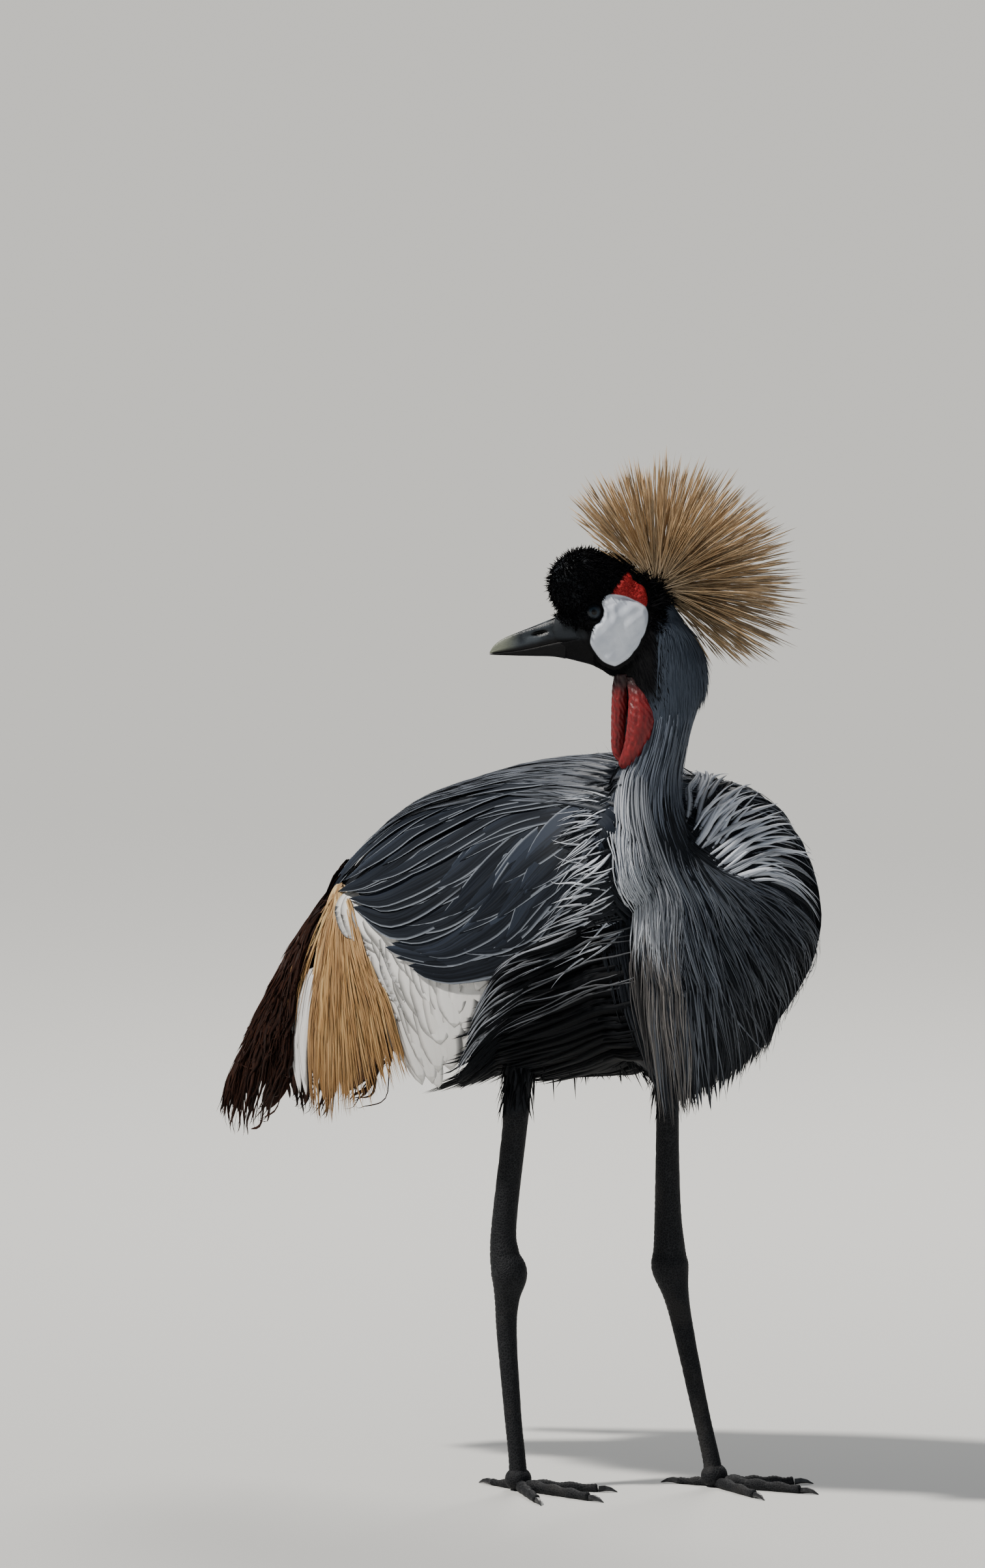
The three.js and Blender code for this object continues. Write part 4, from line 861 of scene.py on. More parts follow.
def shapeHead(mesh):
    look = headLook
    points, normals = threes(mesh.vertices, "co"), threes(mesh.vertex_normals, "vector")
    ahead, side, up = toHead(points)
    onFace = smoothStep(np.abs(side), 6, 11) * (up > -70) * smoothStep(ahead, -66, -60)
    cheek, patch = bareShares(ahead, up)
    rise = look["cheekRise"] * (1 - smoothStep(cheek, 0.8, 1.02)) * (0.82 + 0.18 * np.cos(up * 0.12))
    folds = look["cheekFold"] * np.sin(ahead * 0.36 + up * 0.1 + 1.3 * np.sin(up * 0.13))
    folds = folds * np.sin(up * 0.21 + 0.7)
    for height, foot, width, level in look["cheekRidges"]:
        folds += height * bell(ahead - (up + 4) * 0.25, foot, width) * bell(up, level, 7)
    folds -= look["cheekFall"] * smoothStep(-up - 0.35 * ahead, 20, 34)
    folds = folds * (1 - smoothStep(cheek, 0.75, 0.98))
    bumps = np.sin(ahead * 1.1 + np.sin(up * 0.8)) * np.sin(up * 1.3 + np.sin(ahead * 0.7) * 1.2)
    patchRise = (look["patchRise"] + bumps * look["patchBumps"]) * (1 - smoothStep(patch, 0.75, 1.05))
    patchRise = patchRise * smoothStep(cheek, 0.95, 1.05)
    groove = -look["bareEdge"] * bell(cheek, 1.05, 0.03)
    eyeDistance = np.hypot(ahead - look["eye"][0], up - look["eye"][2])
    lids = look["lidRise"] * bell(eyeDistance, look["lidRadius"], 1.1)
    lids -= look["socketDepth"] * bell(eyeDistance, 0, look["socketRadius"], 4)
    line = np.interp(ahead, *np.array(look["mouth"], float).T)
    slit = -look["slitDepth"] * bell(up, line, look["slitWidth"]) * smoothStep(ahead, 11, 15)
    move = onFace * (rise + folds + patchRise + groove + lids * smoothStep(cheek, 0.98, 1.12) + slit)
    points = points + normals * (move * mm)[:, None]
    mesh.vertices.foreach_set("co", points.astype(np.float32).ravel())
    mesh.update()


def skinMarks(mesh):
    points = threes(mesh.vertices, "co")
    ahead, side, up = toHead(points)
    onHeadNow = (np.abs(side) > 4) & (up > -66) & (ahead > -62) & (np.abs(side) < 34) & (ahead < 45)
    cheek, patch = bareShares(ahead, up)
    height = points[:, 2] / mm
    markMesh(mesh, {"cheek": np.where(onHeadNow, cheek, 3), "patch": np.where(onHeadNow, patch, 3),
                    "height": height, "legs": smoothStep(-height, -345, -335), "ahead": ahead})


def skinPaint(start):
    cheek, patch, height = (start.attribute(a) for a in ("cheek", "patch", "height"))
    legs, ahead = (start.attribute(a) for a in ("legs", "ahead"))
    fine, soft = start.noise(900.0), start.noise(60.0)
    slate = start.mix(soft.between(0.35, 0.65), (0.006, 0.007, 0.009), (0.012, 0.014, 0.018))
    neck = start.mix(height.between(540.0, 640.0), slate, (0.045, 0.058, 0.08))
    black = start.mix(fine.between(0.4, 0.7), (0.0015, 0.0015, 0.002), (0.004, 0.004, 0.005))
    headArea = ahead.between(-68.0, -50.0) * height.between(703.5, 729.5)
    horn = start.mix(soft.between(0.35, 0.65), (0.008, 0.0095, 0.011), (0.02, 0.0235, 0.028))
    lores = ahead.between(0.0, 16.0) * height.between(768.5, 773.0)
    base = start.mix(headArea, neck, start.mix(lores, black, horn))
    white = start.mix(soft.between(0.3, 0.7), (0.56, 0.6, 0.68), (0.72, 0.76, 0.83))
    red = start.mix(fine.between(0.35, 0.65), (0.2, 0.006, 0.008), (0.36, 0.026, 0.026))
    base = start.mix(1 - patch.between(0.96, 1.02), base, red)
    base = start.mix(1 - cheek.between(0.97, 1.01), base, white)
    scale = start.node("ShaderNodeTexVoronoi", {"feature": "DISTANCE_TO_EDGE"},
                       {"Vector": start.objectPlace(), "Scale": 420.0})
    leg = start.mix(scale.between(0.0, 0.14), (0.022, 0.023, 0.025), (0.007, 0.0075, 0.009))
    leg = start.mix(start.noise(35.0, 4.0).between(0.5, 0.75) * 0.35, leg, (0.04, 0.037, 0.034))
    base = start.mix(legs, base, leg)
    relief = fine * 0.5 + scale.between(0.0, 0.2) * legs
    return {"Base Color": base, "Normal": relief.bump(0.5, 0.0005), "Roughness": soft * 0.2 + 0.5}


def makeSkin():
    trunk = tableLoft(trunkRing, -256, 176, 70)
    neckLow, neckHigh = tableLoft(neckRing, 474, 712, 60), tableLoft(neckRing, 690, 800, 60)
    body = remeshed("skin_body", [trunk, neckLow, wingBed(1), wingBed(-1)], skinLook["bodyVoxel"], 0.5, 4)
    crown = [ball(place, size) for place, size in headLook["crown"]]
    head = remeshed("skin_head", [tableLoft(skullRing, -75.5, 39.5, 80), neckHigh, *crown],
                    skinLook["headVoxel"], 0.5, 14)
    shapeHead(head)
    parts = []
    for side, path in legPaths.items():
        parts += [(f"leg_{side}", legShape(path)), (f"pad_{side}", footPad(side))]
        parts += [(f"toe_{side}_{toe[0]}", toeShape(side, toe)) for toe in footLook["toes"]]
    meshes = [body, head] + [outward(meshOf(f"skin_{name}", [part])) for name, part in parts]
    holders = [addObject(mesh.name, mesh) for mesh in meshes]
    for other in holders[1:]:
        modifier = holders[0].modifiers.new("join", "BOOLEAN")
        modifier.operation = "UNION"
        modifier.solver = "MANIFOLD"
        modifier.object = other
    graph = bpy.context.evaluated_depsgraph_get()
    skin = bpy.data.meshes.new_from_object(holders[0].evaluated_get(graph))
    for holder in holders:
        bpy.data.objects.remove(holder)
    skin.name = "skin"
    skin.polygons.foreach_set("use_smooth", np.ones(len(skin.polygons), bool))
    skinMarks(skin)
    addPiece("skin", skin, newFinish("skin", {"Specular IOR Level": 0.12}, skinPaint),
             ("torso", "neck", "head", "shank_left", "shank_right", "tarsus_left", "tarsus_right",
              "foot_left", "foot_right"))
    skin.calc_loop_triangles()
    return (threes(skin.vertices, "co"), threes(skin.vertex_normals, "vector"),
            threes(skin.loop_triangles, "vertices", int))


skinPoints, skinNormals, skinCorners = makeSkin()
print("skin made")


# The head's short feathers: velvet on the crown, black behind the cheek and on the throat
def chooseSpots(mask, count):
    inside = skinCorners[mask[skinCorners].all(axis=1)]
    first, second, third = (skinPoints[inside[:, k]] for k in range(3))
    area = np.linalg.norm(np.cross(second - first, third - first), axis=1)
    chosen = inside[draw.choice(len(inside), count, p=area / area.sum())]
    share = draw.dirichlet((1, 1, 1), count)[..., None]
    return (skinPoints[chosen] * share).sum(axis=1), unit((skinNormals[chosen] * share).sum(axis=1))


def blackShare(points):              # black behind the cheek and on the throat, slate on the neck
    ahead, _, up = toHead(points)
    return smoothStep(ahead, -68, -50) * smoothStep(up, -92, -66)


def headUnwrap(points):
    ahead, side, up = toHead(points)
    return np.stack([0.02 + 0.93 * (np.arctan2(side, ahead + 20) / (2 * np.pi) + 0.5),
                     0.02 + 0.93 * np.clip((up + 80) / 150, 0, 1)], axis=-1)


velvetLook = {
    "steps": 3, "length": 4.4, "half": 0.75, "depth": 0.7, "taper": 1.5, "stand": 0.55, "droop": 0.0,
    "sink": 0.8, "sizeSpread": 0.35, "stray": 0.5, "count": 9000, "lie": (-1, 0, -0.6)}
napeLook = {
    **velvetLook, "length": 7.0, "half": 0.6, "stand": 0.02, "droop": 0.01, "stray": 0.05, "depth": 0.3,
    "sink": 0.3, "smooth": True, "count": 7500, "lie": (-0.5, 0, -1)}
rootTuftLook = {
    **velvetLook, "steps": 4, "length": 13.0, "half": 0.9, "stand": 0.5, "stray": 0.3, "count": 500,
    "lie": (-1, 0, 0.35), "middle": (-52, 18), "radius": 17}
browLine = [(5, 20, 28, 34.8, 38), (-17, -15, -12, -7.5, -3)]    # toward the bill, up


def dressHead():
    ahead, side, up = toHead(skinPoints)
    eyeAhead, _, eyeUp = headLook["eye"]
    bare = (np.minimum(*bareShares(ahead, up)) < 1.04) & (np.abs(side) > 6)
    bare |= (np.hypot(ahead - eyeAhead, up - eyeUp) < 9.5) & (np.abs(side) > 8)
    near = (skinPoints[:, 2] > 0.7) & (ahead > -80) & (ahead < 45) & ~bare
    velvet = near & (up > np.interp(ahead, *browLine)) & (ahead < 40) & (ahead > -62)
    lores = (ahead > 3) & (up > -50)
    nape = near & ~velvet & ~lores & (blackShare(skinPoints) > 0.01) & (ahead < 26)
    rootAhead, rootUp = rootTuftLook["middle"]
    roots = near & (np.hypot(ahead - rootAhead, up - rootUp) < rootTuftLook["radius"])
    for name, area, look in (("velvet", velvet, velvetLook), ("nape", nape, napeLook),
                             ("root_tufts", roots, rootTuftLook)):
        points, normals = chooseSpots(area, look["count"])
        if name == "nape":
            black = blackShare(points) > draw.uniform(0.1, 0.9, len(points))
            points, normals = points[black], normals[black]
        flow = unit(onHead(*look["lie"]) - onHead(0.0, 0.0, 0.0))
        layTufts(f"head_{name}", points, normals, flow, look, headUnwrap(points), "velvetBlack")


dressHead()
print("head dressed")


def spanUnwrap(low, high):
    lowest, highest = np.array(low, float), np.array(high, float)

    def unwrap(a, b):
        share = (np.stack([a, b], axis=-1) - lowest) / (highest - lowest)
        return 0.01 + np.clip(share, 0, 1) * 0.97
    return unwrap


def behindTail(left, up, lift):
    hollow = 22 * (1 - (left / 66) ** 2)
    return toFrame(left, -268 - lift - hollow - (500 - up) * 0.12, up)


def flankPlace(side):
    def place(forward, degrees, lift):
        return roundTrunk(forward, side * degrees, lift)
    return place


# Beds: a place on the plumage with the way it is unwrapped, from the lowest to the highest values
trunkSpan = spanUnwrap((-270, -180), (190, 180))
wingSpan = spanUnwrap((-400, 0), (110, 1.1))
beds = {
    "neck": (roundNeck, spanUnwrap((-180, 340), (240, 810))),
    "fan": (fanPlace, spanUnwrap((-110, 0), (300, 170))),
    "trunk": (roundTrunk, trunkSpan),
    "tail": (behindTail, spanUnwrap((-70, 320), (70, 510))),
    "wing_left": (wingPlace(1), wingSpan), "wing_right": (wingPlace(-1), wingSpan),
    "flank_left": (flankPlace(1), trunkSpan), "flank_right": (flankPlace(-1), trunkSpan)}

# What each feather look says: its size, its outline from the root, how it stands off its bed at four
# spots along it, and how far single feathers stray from the rest
baseLook = {
    "steps": 9, "half": 14, "thick": 0.8, "rootWidth": 0.45, "widest": 0.3, "taperFrom": 0.35, "taper": 2.2,
    "camber": 0.12, "roll": 0.05, "sizeSpread": 0.15, "liftSpots": (0, 0.12, 0.5, 1),
    "lifts": (-5, 0.3, 1.6, 3), "liftSpread": 1.5, "lean": 0.0, "bend": (0, 0), "curl": 0.0,
    "curlAxes": (1, 1)}

# Each sheet of flow lines goes from the roots to the tips; its rows hold places side by side.
# On a wing a place is the distance forward and the share of the way down.
wingTracts = [
    {"name": "white_coverts", "finish": "whiteCovert", "slot": "white_coverts",
     "sheet": [[[-243, 0.37], [-200, 0.52], [-125, 0.58], [-52, 0.64], [10, 0.67]],
               [[-222, 0.5], [-164, 0.61], [-98, 0.69], [-39, 0.74], [12, 0.71]],
               [[-190, 0.62], [-140, 0.73], [-88, 0.83], [-48, 0.84], [6, 0.75]],
               [[-160, 0.78], [-120, 0.87], [-88, 0.93], [-64, 0.9], [-4, 0.79]],
               [[-140, 1.0], [-114, 1.03], [-94, 1.0], [-78, 0.94], [-14, 0.83]]],
     "lay": {"tiers": 7, "count": 15, "span": 0.42, "stray": (0.04, 0.02), "drift": 0.03},
     "look": {**baseLook, "broad": True, "steps": 13, "half": 15, "lifts": (-2.8, -1.9, -1.2, -1.2),
              "taperFrom": 0.55, "taper": 2.6, "thick": 0.15, "liftSpread": 0.5, "lean": 0.01, "camber": 0.02,
              "roll": 0.015, "sizeSpread": 0.3}},
    {"name": "scapulars", "finish": "wingDark", "slot": "wing_slate",
     "sheet": [[[46, 0.03], [46, 0.2], [52, 0.3], [58, 0.38], [60, 0.46], [60, 0.56], [62, 0.66]],
               [[7, 0.06], [34, 0.22], [43, 0.31], [47, 0.36], [48, 0.41], [47, 0.51], [53, 0.61]],
               [[-56, 0.1], [-17, 0.26], [-5, 0.35], [11, 0.42], [24, 0.49], [31, 0.58], [40, 0.67]],
               [[-115, 0.11], [-78, 0.26], [-50, 0.36], [-25, 0.47], [4, 0.57], [14, 0.66], [23, 0.75]],
               [[-163, 0.11], [-123, 0.28], [-86, 0.4], [-56, 0.51], [-20, 0.64], [-3, 0.71], [8, 0.8]],
               [[-198, 0.14], [-164, 0.31], [-120, 0.45], [-90, 0.55], [-48, 0.67], [-30, 0.76], [-11, 0.84]],
               [[-232, 0.17], [-196, 0.36], [-157, 0.48], [-126, 0.58],
                [-86, 0.67], [-66, 0.74], [-41, 0.82]],
               [[-257, 0.21], [-230, 0.37], [-197, 0.49], [-165, 0.58],
                [-122, 0.67], [-105, 0.71], [-79, 0.77]],
               [[-277, 0.26], [-264, 0.33], [-248, 0.41], [-217, 0.5],
                [-172, 0.62], [-160, 0.67], [-128, 0.72]]],
     "lay": {"tiers": 8, "count": 12, "span": 0.5, "stray": (0.04, 0.03), "drift": 0.03},
     # the upper scapulars are graded toward the lighter odd-feather colour: partly their own tone, partly
     # painted light falling from above
     "look": {**baseLook, "broad": True, "steps": 20, "half": 17, "lifts": (-7, 0.2, 1.8, 2.8), "curl": 0.6,
              "curlAxes": (1, 0.005), "roll": 0.03, "lean": 0.09, "camber": 0.04, "taperFrom": 0.45,
              "taper": 2.0, "shadeBy": (1, 0.66, 0.1, 0.35), "sizeSpread": 0.3, "liftSpread": 1.2,
              "rootWidth": 0.6}},
    {"name": "gold_under", "finish": "plumeGold", "slot": "golden_plumes",
     "sheet": [[[-266, 0.27], [-264, 0.3], [-260, 0.33], [-256, 0.36], [-250, 0.39]],
               [[-268, 0.34], [-256, 0.38], [-247, 0.42], [-239, 0.45], [-230, 0.47]],
               [[-266, 0.56], [-246, 0.6], [-224, 0.62], [-206, 0.64], [-191, 0.65]],
               [[-271, 0.73], [-239, 0.77], [-208, 0.78], [-182, 0.78], [-163, 0.77]],
               [[-269, 0.96], [-242, 0.97], [-204, 0.96], [-170, 0.95], [-148, 0.93]]],
     "lay": {"tiers": 4, "count": 9, "span": 0.55, "stray": (0.03, 0.03), "drift": 0.03},
     "look": {**baseLook, "broad": True, "steps": 12, "half": 8, "lifts": (-6, -0.8, -0.6, -0.6),
              "taperFrom": 0.6, "taper": 1.8, "thick": 0.7, "liftSpread": 0.4}},
    {"name": "gold_plumes", "finish": "plumeGold", "slot": "golden_plumes",
     "sheet": [[[-268, 0.26], [-264, 0.3], [-260, 0.33], [-256, 0.36], [-248, 0.39]],
               [[-270, 0.34], [-256, 0.38], [-247, 0.42], [-239, 0.45], [-228, 0.47]],
               [[-268, 0.57], [-246, 0.61], [-224, 0.63], [-206, 0.65], [-189, 0.66]],
               [[-273, 0.73], [-239, 0.79], [-208, 0.82], [-180, 0.8], [-160, 0.79]],
               [[-271, 1.0], [-244, 1.02], [-200, 1.01], [-164, 0.99], [-140, 0.97]]],
     "lay": {"tiers": 12, "count": 62, "span": 0.5, "stray": (0.08, 0.02), "drift": 0.05},
     "look": {**baseLook, "steps": 12, "half": 1.2, "thick": 0.4, "lifts": (-6, 0.2, 1.8, 2.4),
              "liftSpread": 4, "curl": 1.0, "curlAxes": (1, 0.004), "taperFrom": 0.3, "taper": 1.6,
              "roll": 0.3, "rootWidth": 0.7, "clump": (0, 5, 0.6), "sizeSpread": 0.6}},
    {"name": "white_strip", "finish": "whiteCovert", "slot": "white_coverts",
     "sheet": [[[-280, 0.54], [-270, 0.56]], [[-289, 0.63], [-275, 0.69]], [[-297, 0.74], [-280, 0.79]],
               [[-290, 0.91], [-277, 0.92]]],
     "lay": {"tiers": 3, "count": 5, "span": 0.7, "stray": (0.05, 0.1), "drift": 0.1},
     "look": {**baseLook, "broad": True, "steps": 12, "half": 5, "lifts": (-5, 2, 3.4, 3.6), "taperFrom": 0.5,
              "taper": 1.8, "thick": 0.7, "liftSpread": 1}},
    {"name": "droop_under", "finish": "chestnut", "slot": "chestnut_plumage",
     "sheet": [[[-268, 0.22], [-276, 0.33], [-270, 0.4]], [[-312, 0.2], [-312, 0.3], [-292, 0.48]],
               [[-342, 0.26], [-331, 0.42], [-300, 0.62]], [[-366, 0.34], [-354, 0.5], [-306, 0.75]],
               [[-380, 0.45], [-368, 0.64], [-316, 0.84]], [[-388, 0.82], [-372, 0.9], [-340, 0.9]]],
     "lay": {"tiers": 5, "count": 7, "span": 0.45, "stray": (0.03, 0.03), "drift": 0.04},
     "look": {**baseLook, "broad": True, "steps": 12, "half": 9, "lifts": (-7, -1.4, -1, -1), "thick": 0.7,
              "liftSpread": 1, "taper": 2.0}},
    {"name": "droop", "finish": "chestnut", "slot": "chestnut_plumage",
     "sheet": [[[-268, 0.2], [-276, 0.33], [-270, 0.38]], [[-315, 0.18], [-317, 0.28], [-288, 0.46]],
               [[-345, 0.22], [-333, 0.4], [-296, 0.6]], [[-370, 0.3], [-360, 0.48], [-300, 0.73]],
               [[-386, 0.4], [-372, 0.63], [-309, 0.82]], [[-395, 0.9], [-378, 0.97], [-338, 0.94]]],
     "lay": {"tiers": 14, "count": 30, "span": 0.36, "stray": (0.05, 0.03), "drift": 0.09},
     "look": {**baseLook, "steps": 16, "half": 2.4, "thick": 0.6, "lifts": (-6, 3, 6, 6), "liftSpread": 10,
              "curl": 3, "curlAxes": (1, 0.015), "taperFrom": 0.3, "taper": 1.5, "roll": 0.9,
              "ripple": (2.6, 0.012), "rippleTurns": 2.2, "rootWidth": 0.7, "sizeSpread": 0.6}},
    {"name": "gold_wisps", "finish": "plumeGold", "slot": "golden_plumes",
     "sheet": [[[-271, 0.33], [-264, 0.36]], [[-296, 0.36], [-274, 0.47]], [[-314, 0.44], [-284, 0.59]],
               [[-308, 0.67], [-288, 0.76]]],
     "lay": {"tiers": 3, "count": 8, "span": 0.7, "stray": (0.08, 0.1), "drift": 0.3},
     "look": {**baseLook, "steps": 12, "half": 0.8, "thick": 0.6, "lifts": (-3, 3, 5, 6), "liftSpread": 4,
              "curl": 2.5, "curlAxes": (1, 0.01), "roll": 0.5}},
]
farWingRaise = 0.93                  # the far wing's gold is carried a little higher


def dressWings():
    for side, word in ((1, "left"), (-1, "right")):
        for tract in wingTracts:
            paths = flowPaths(tract["sheet"], tract["lay"])
            if side == 1 and tract["name"].startswith("gold"):
                paths[..., 1] *= farWingRaise
            nodes = (f"wing_{word}",) if tract["name"] == "scapulars" else ()
            layFeathers(f"wing_{word}_{tract['name']}", beds[f"wing_{word}"], paths, tract["look"],
                        tract["finish"], tract["slot"], nodes, side)


dressWings()
print("wings dressed")

# Rows on the breast: degrees round the neck from the left over the front, and height
breastRows = [
    [[[40, 640], [36, 560]], [[200, 640], [196, 556]]],
    [[[24, 604], [20, 516]], [[204, 604], [198, 510]]],
    [[[8, 570], [4, 480]], [[206, 570], [196, 466]]],
    [[[-10, 530], [-8, 446]], [[204, 540], [194, 424]]],
    [[[-14, 490], [-8, 428]], [[198, 500], [188, 392]]],
    [[[-10, 470], [0, 422]], [[190, 470], [180, 368]]],
    [[[20, 450], [26, 418]], [[184, 448], [174, 354]]],
]
# The feathers that flow from the neck's foot over the breast, and the long ones hanging below the wattle
breastSheet = [
    [[83, 575], [85, 580], [83, 588], [103, 598], [127, 606], [149, 614], [179, 618]],
    [[70, 557], [84, 555], [101, 553], [128, 549], [148, 550], [164, 551], [176, 558]],
    [[61, 539], [82, 528], [107, 513], [133, 498], [153, 494], [167, 494], [180, 499]],
    [[52, 508], [72, 484], [94, 460], [121, 439], [148, 429], [164, 429], [177, 436]],
    [[32, 466], [38, 442], [48, 408], [84, 378], [139, 358], [166, 353], [182, 353]]]
beardSheet = [
    [[209, 660], [192, 664], [169, 664], [146, 655]],
    [[193, 620], [178, 618], [158, 612], [138, 606]],
    [[173, 583], [168, 575], [157, 569], [141, 562]],
    [[180, 535], [174, 528], [167, 520], [156, 515]],
    [[186, 489], [177, 482], [169, 474], [160, 466]],
    [[184, 425], [176, 417], [167, 408], [158, 400]],
    [[188, 352], [178, 345], [168, 349], [160, 356]]]
# Round the neck's foot: degrees from the left over the front, degrees down from straight up
fanSheets = {
    "left": [
        [[121, 20], [116, 30], [112, 38], [107, 47], [102, 54], [97, 60], [93, 65]],
        [[60, 11], [81, 21], [78, 31], [74, 42], [73, 51], [74, 61], [75, 68]],
        [[4, 21], [41, 23], [50, 35], [50, 47], [54, 58], [60, 67], [63, 78]],
        [[-10, 28], [16, 33], [29, 44], [36, 56], [42, 67], [48, 79], [52, 92]]],
    "right": [
        [[197, 26], [189, 34], [182, 41], [175, 54], [172, 67], [172, 78], [169, 91]],
        [[211, 31], [197, 40], [189, 48], [182, 61], [181, 72], [183, 86], [179, 99]],
        [[215, 37], [203, 46], [195, 55], [191, 66], [194, 81], [196, 92], [194, 108]],
        [[221, 43], [209, 53], [203, 60], [198, 74], [203, 90], [209, 98], [208, 117]]],
}
farFanRows = [
    [[[-84, 17], [-84, 30]], [[52, 22], [40, 40]]],
    [[[-84, 24], [-84, 38]], [[50, 32], [40, 56]]],
    [[[-80, 34], [-80, 50]], [[46, 46], [38, 74]]],
    [[[-70, 44], [-70, 66]], [[42, 60], [36, 92]]],
    [[[-56, 58], [-58, 84]], [[36, 80], [32, 112]]],
]
nearFanRows = [
    [[[200, 20], [200, 32]], [[276, 15], [276, 26]]],
    [[[200, 28], [202, 42]], [[262, 20], [262, 32]]],
]
flankSheet = [
    [[92, 70], [104, 89], [112, 107], [116, 119], [116, 130]],
    [[35, 88], [31, 104], [22, 122], [25, 138], [23, 154]],
    [[-5, 94], [-15, 109], [-41, 127], [-52, 147], [-42, 164]],
    [[-33, 101], [-45, 114], [-68, 129], [-100, 152], [-92, 170]],
    [[-58, 114], [-70, 123], [-95, 136], [-137, 158], [-146, 177]]]
backRows = [
    [[[70, -40], [-20, -36]], [[78, 40], [-14, 36]]],
    [[[20, -36], [-80, -30]], [[26, 36], [-74, 30]]],
    [[[-40, -26], [-150, -20]], [[-34, 26], [-144, 20]]],
    [[[-110, -20], [-215, -15]], [[-104, 20], [-209, 15]]],
    [[[-160, -17], [-255, -12]], [[-154, 17], [-249, 12]]],
]
flankRows = [
    [[[62, 84], [-20, 100]], [[58, 150], [-24, 160]]],
    [[[46, 86], [-50, 106]], [[42, 172], [-52, 176]]],
    [[[10, 106], [-86, 124]], [[4, 176], [-90, 178]]],
    [[[-35, 134], [-122, 146]], [[-42, 178], [-130, 178]]],
    [[[-98, 152], [-172, 160]], [[-102, 178], [-176, 178]]],
]
rumpRows = [
    [[[-100, -20], [-190, -16]], [[-100, 20], [-190, 16]]],
    [[[-170, -20], [-240, -18]], [[-170, 20], [-240, 18]]],
]
# Chestnut curls hang over the tail between the wings, by distance to the left and height
tailRows = [
    [[[-34, 545], [-46, 480]], [[34, 545], [46, 480]]],
    [[[-52, 500], [-58, 440]], [[52, 500], [58, 440]]],
    [[[-58, 460], [-64, 385]], [[58, 460], [64, 385]]],
    [[[-60, 415], [-64, 335]], [[60, 415], [64, 335]]],
]


lockLook = {
    **baseLook, "half": 2.4, "thick": 0.4, "rootWidth": 0.5, "taperFrom": 0.3, "taper": 1.4,
    "lifts": (-5, 0.8, 2.5, 4.5), "liftSpread": 3, "curl": 0.6, "roll": 0.16, "sizeSpread": 0.35}
strandLook = {
    **lockLook, "steps": 14, "half": 1.0, "lifts": (-4, 1.2, 4, 6.5), "liftSpread": 4, "curl": 1.2,
    "curlAxes": (1.5, 1), "clump": (0, 1.6, 0.6)}
darkLook = {
    **lockLook, "steps": 12, "half": 4.6, "lifts": (-6, 0.4, 1.4, 2.2), "liftSpread": 2, "camber": 0.1}
flankLook = {
    **lockLook, "steps": 14, "half": 3.8, "lifts": (-6, 1.5, 6, 10), "curlAxes": (1, 1.2), "curl": 0.3,
    "roll": 0.05, "camber": 0.04, "clump": (1, 4, 0.5)}
shoulderLay = {"tiers": 7, "count": 22, "span": 0.45, "stray": (0.04, 0.03), "drift": 0.03}
lanceLay = {"tiers": 5, "count": 17, "span": 0.62, "stray": (0.14, 0.05), "drift": 0.085}

# A tract with rows says its tiers, feathers a tier, and how far they and their tips stray.
# A tract with a sheet of flow lines has its lay; the flanks' tracts are laid on both sides.
breastTracts = [
    {"name": "breast_under", "bed": "neck", "rows": breastRows, "lay": (30, 46, (2.5, 4), (3, 8)),
     "finish": "breastDark", "slot": "silver_plumage", "nodes": ("breast",),
     "look": {**lockLook, "steps": 10, "half": 3.6, "camber": 0.15, "lifts": (-6, 0, 1, 1.6),
              "liftSpread": 2}},
    {"name": "breast_veil", "bed": "neck", "sheet": breastSheet,
     "lay": {"tiers": 3, "count": 64, "span": 0.36, "stray": (0.08, 0.02), "drift": 0.04, "to": 0.62},
     "finish": "neckStrand", "slot": "silver_plumage",
     "look": {**lockLook, "steps": 12, "half": 1.1, "lifts": (-4, 0.2, 2.4, 4), "shadeBy": (1, 440, 590, 0.5),
              "clump": (0, 2, 0.5)}},
    {"name": "breast_locks", "bed": "neck", "sheet": breastSheet,
     "lay": {"tiers": 11, "count": 30, "span": 0.42, "stray": (0.03, 0.02), "drift": 0.03},
     "finish": "breastDark", "slot": "silver_plumage",
     "look": {**lockLook, "steps": 13, "half": 2.8, "lifts": (-5, 0.6, 2, 3.4), "curl": 0.8,
              "curlAxes": (1.2, 1)}},
    {"name": "breast_streaks", "bed": "neck", "sheet": breastSheet,
     "lay": {"tiers": 11, "count": 34, "span": 0.44, "stray": (0.06, 0.02), "drift": 0.06},
     "finish": "breastStreak", "slot": "silver_plumage",
     "look": {**lockLook, "steps": 13, "half": 0.8, "lifts": (-4, 1.6, 4, 6), "liftSpread": 4, "curl": 0.8,
              "clump": (0, 2.5, 0.6), "curlAxes": (1.2, 1)}},
]
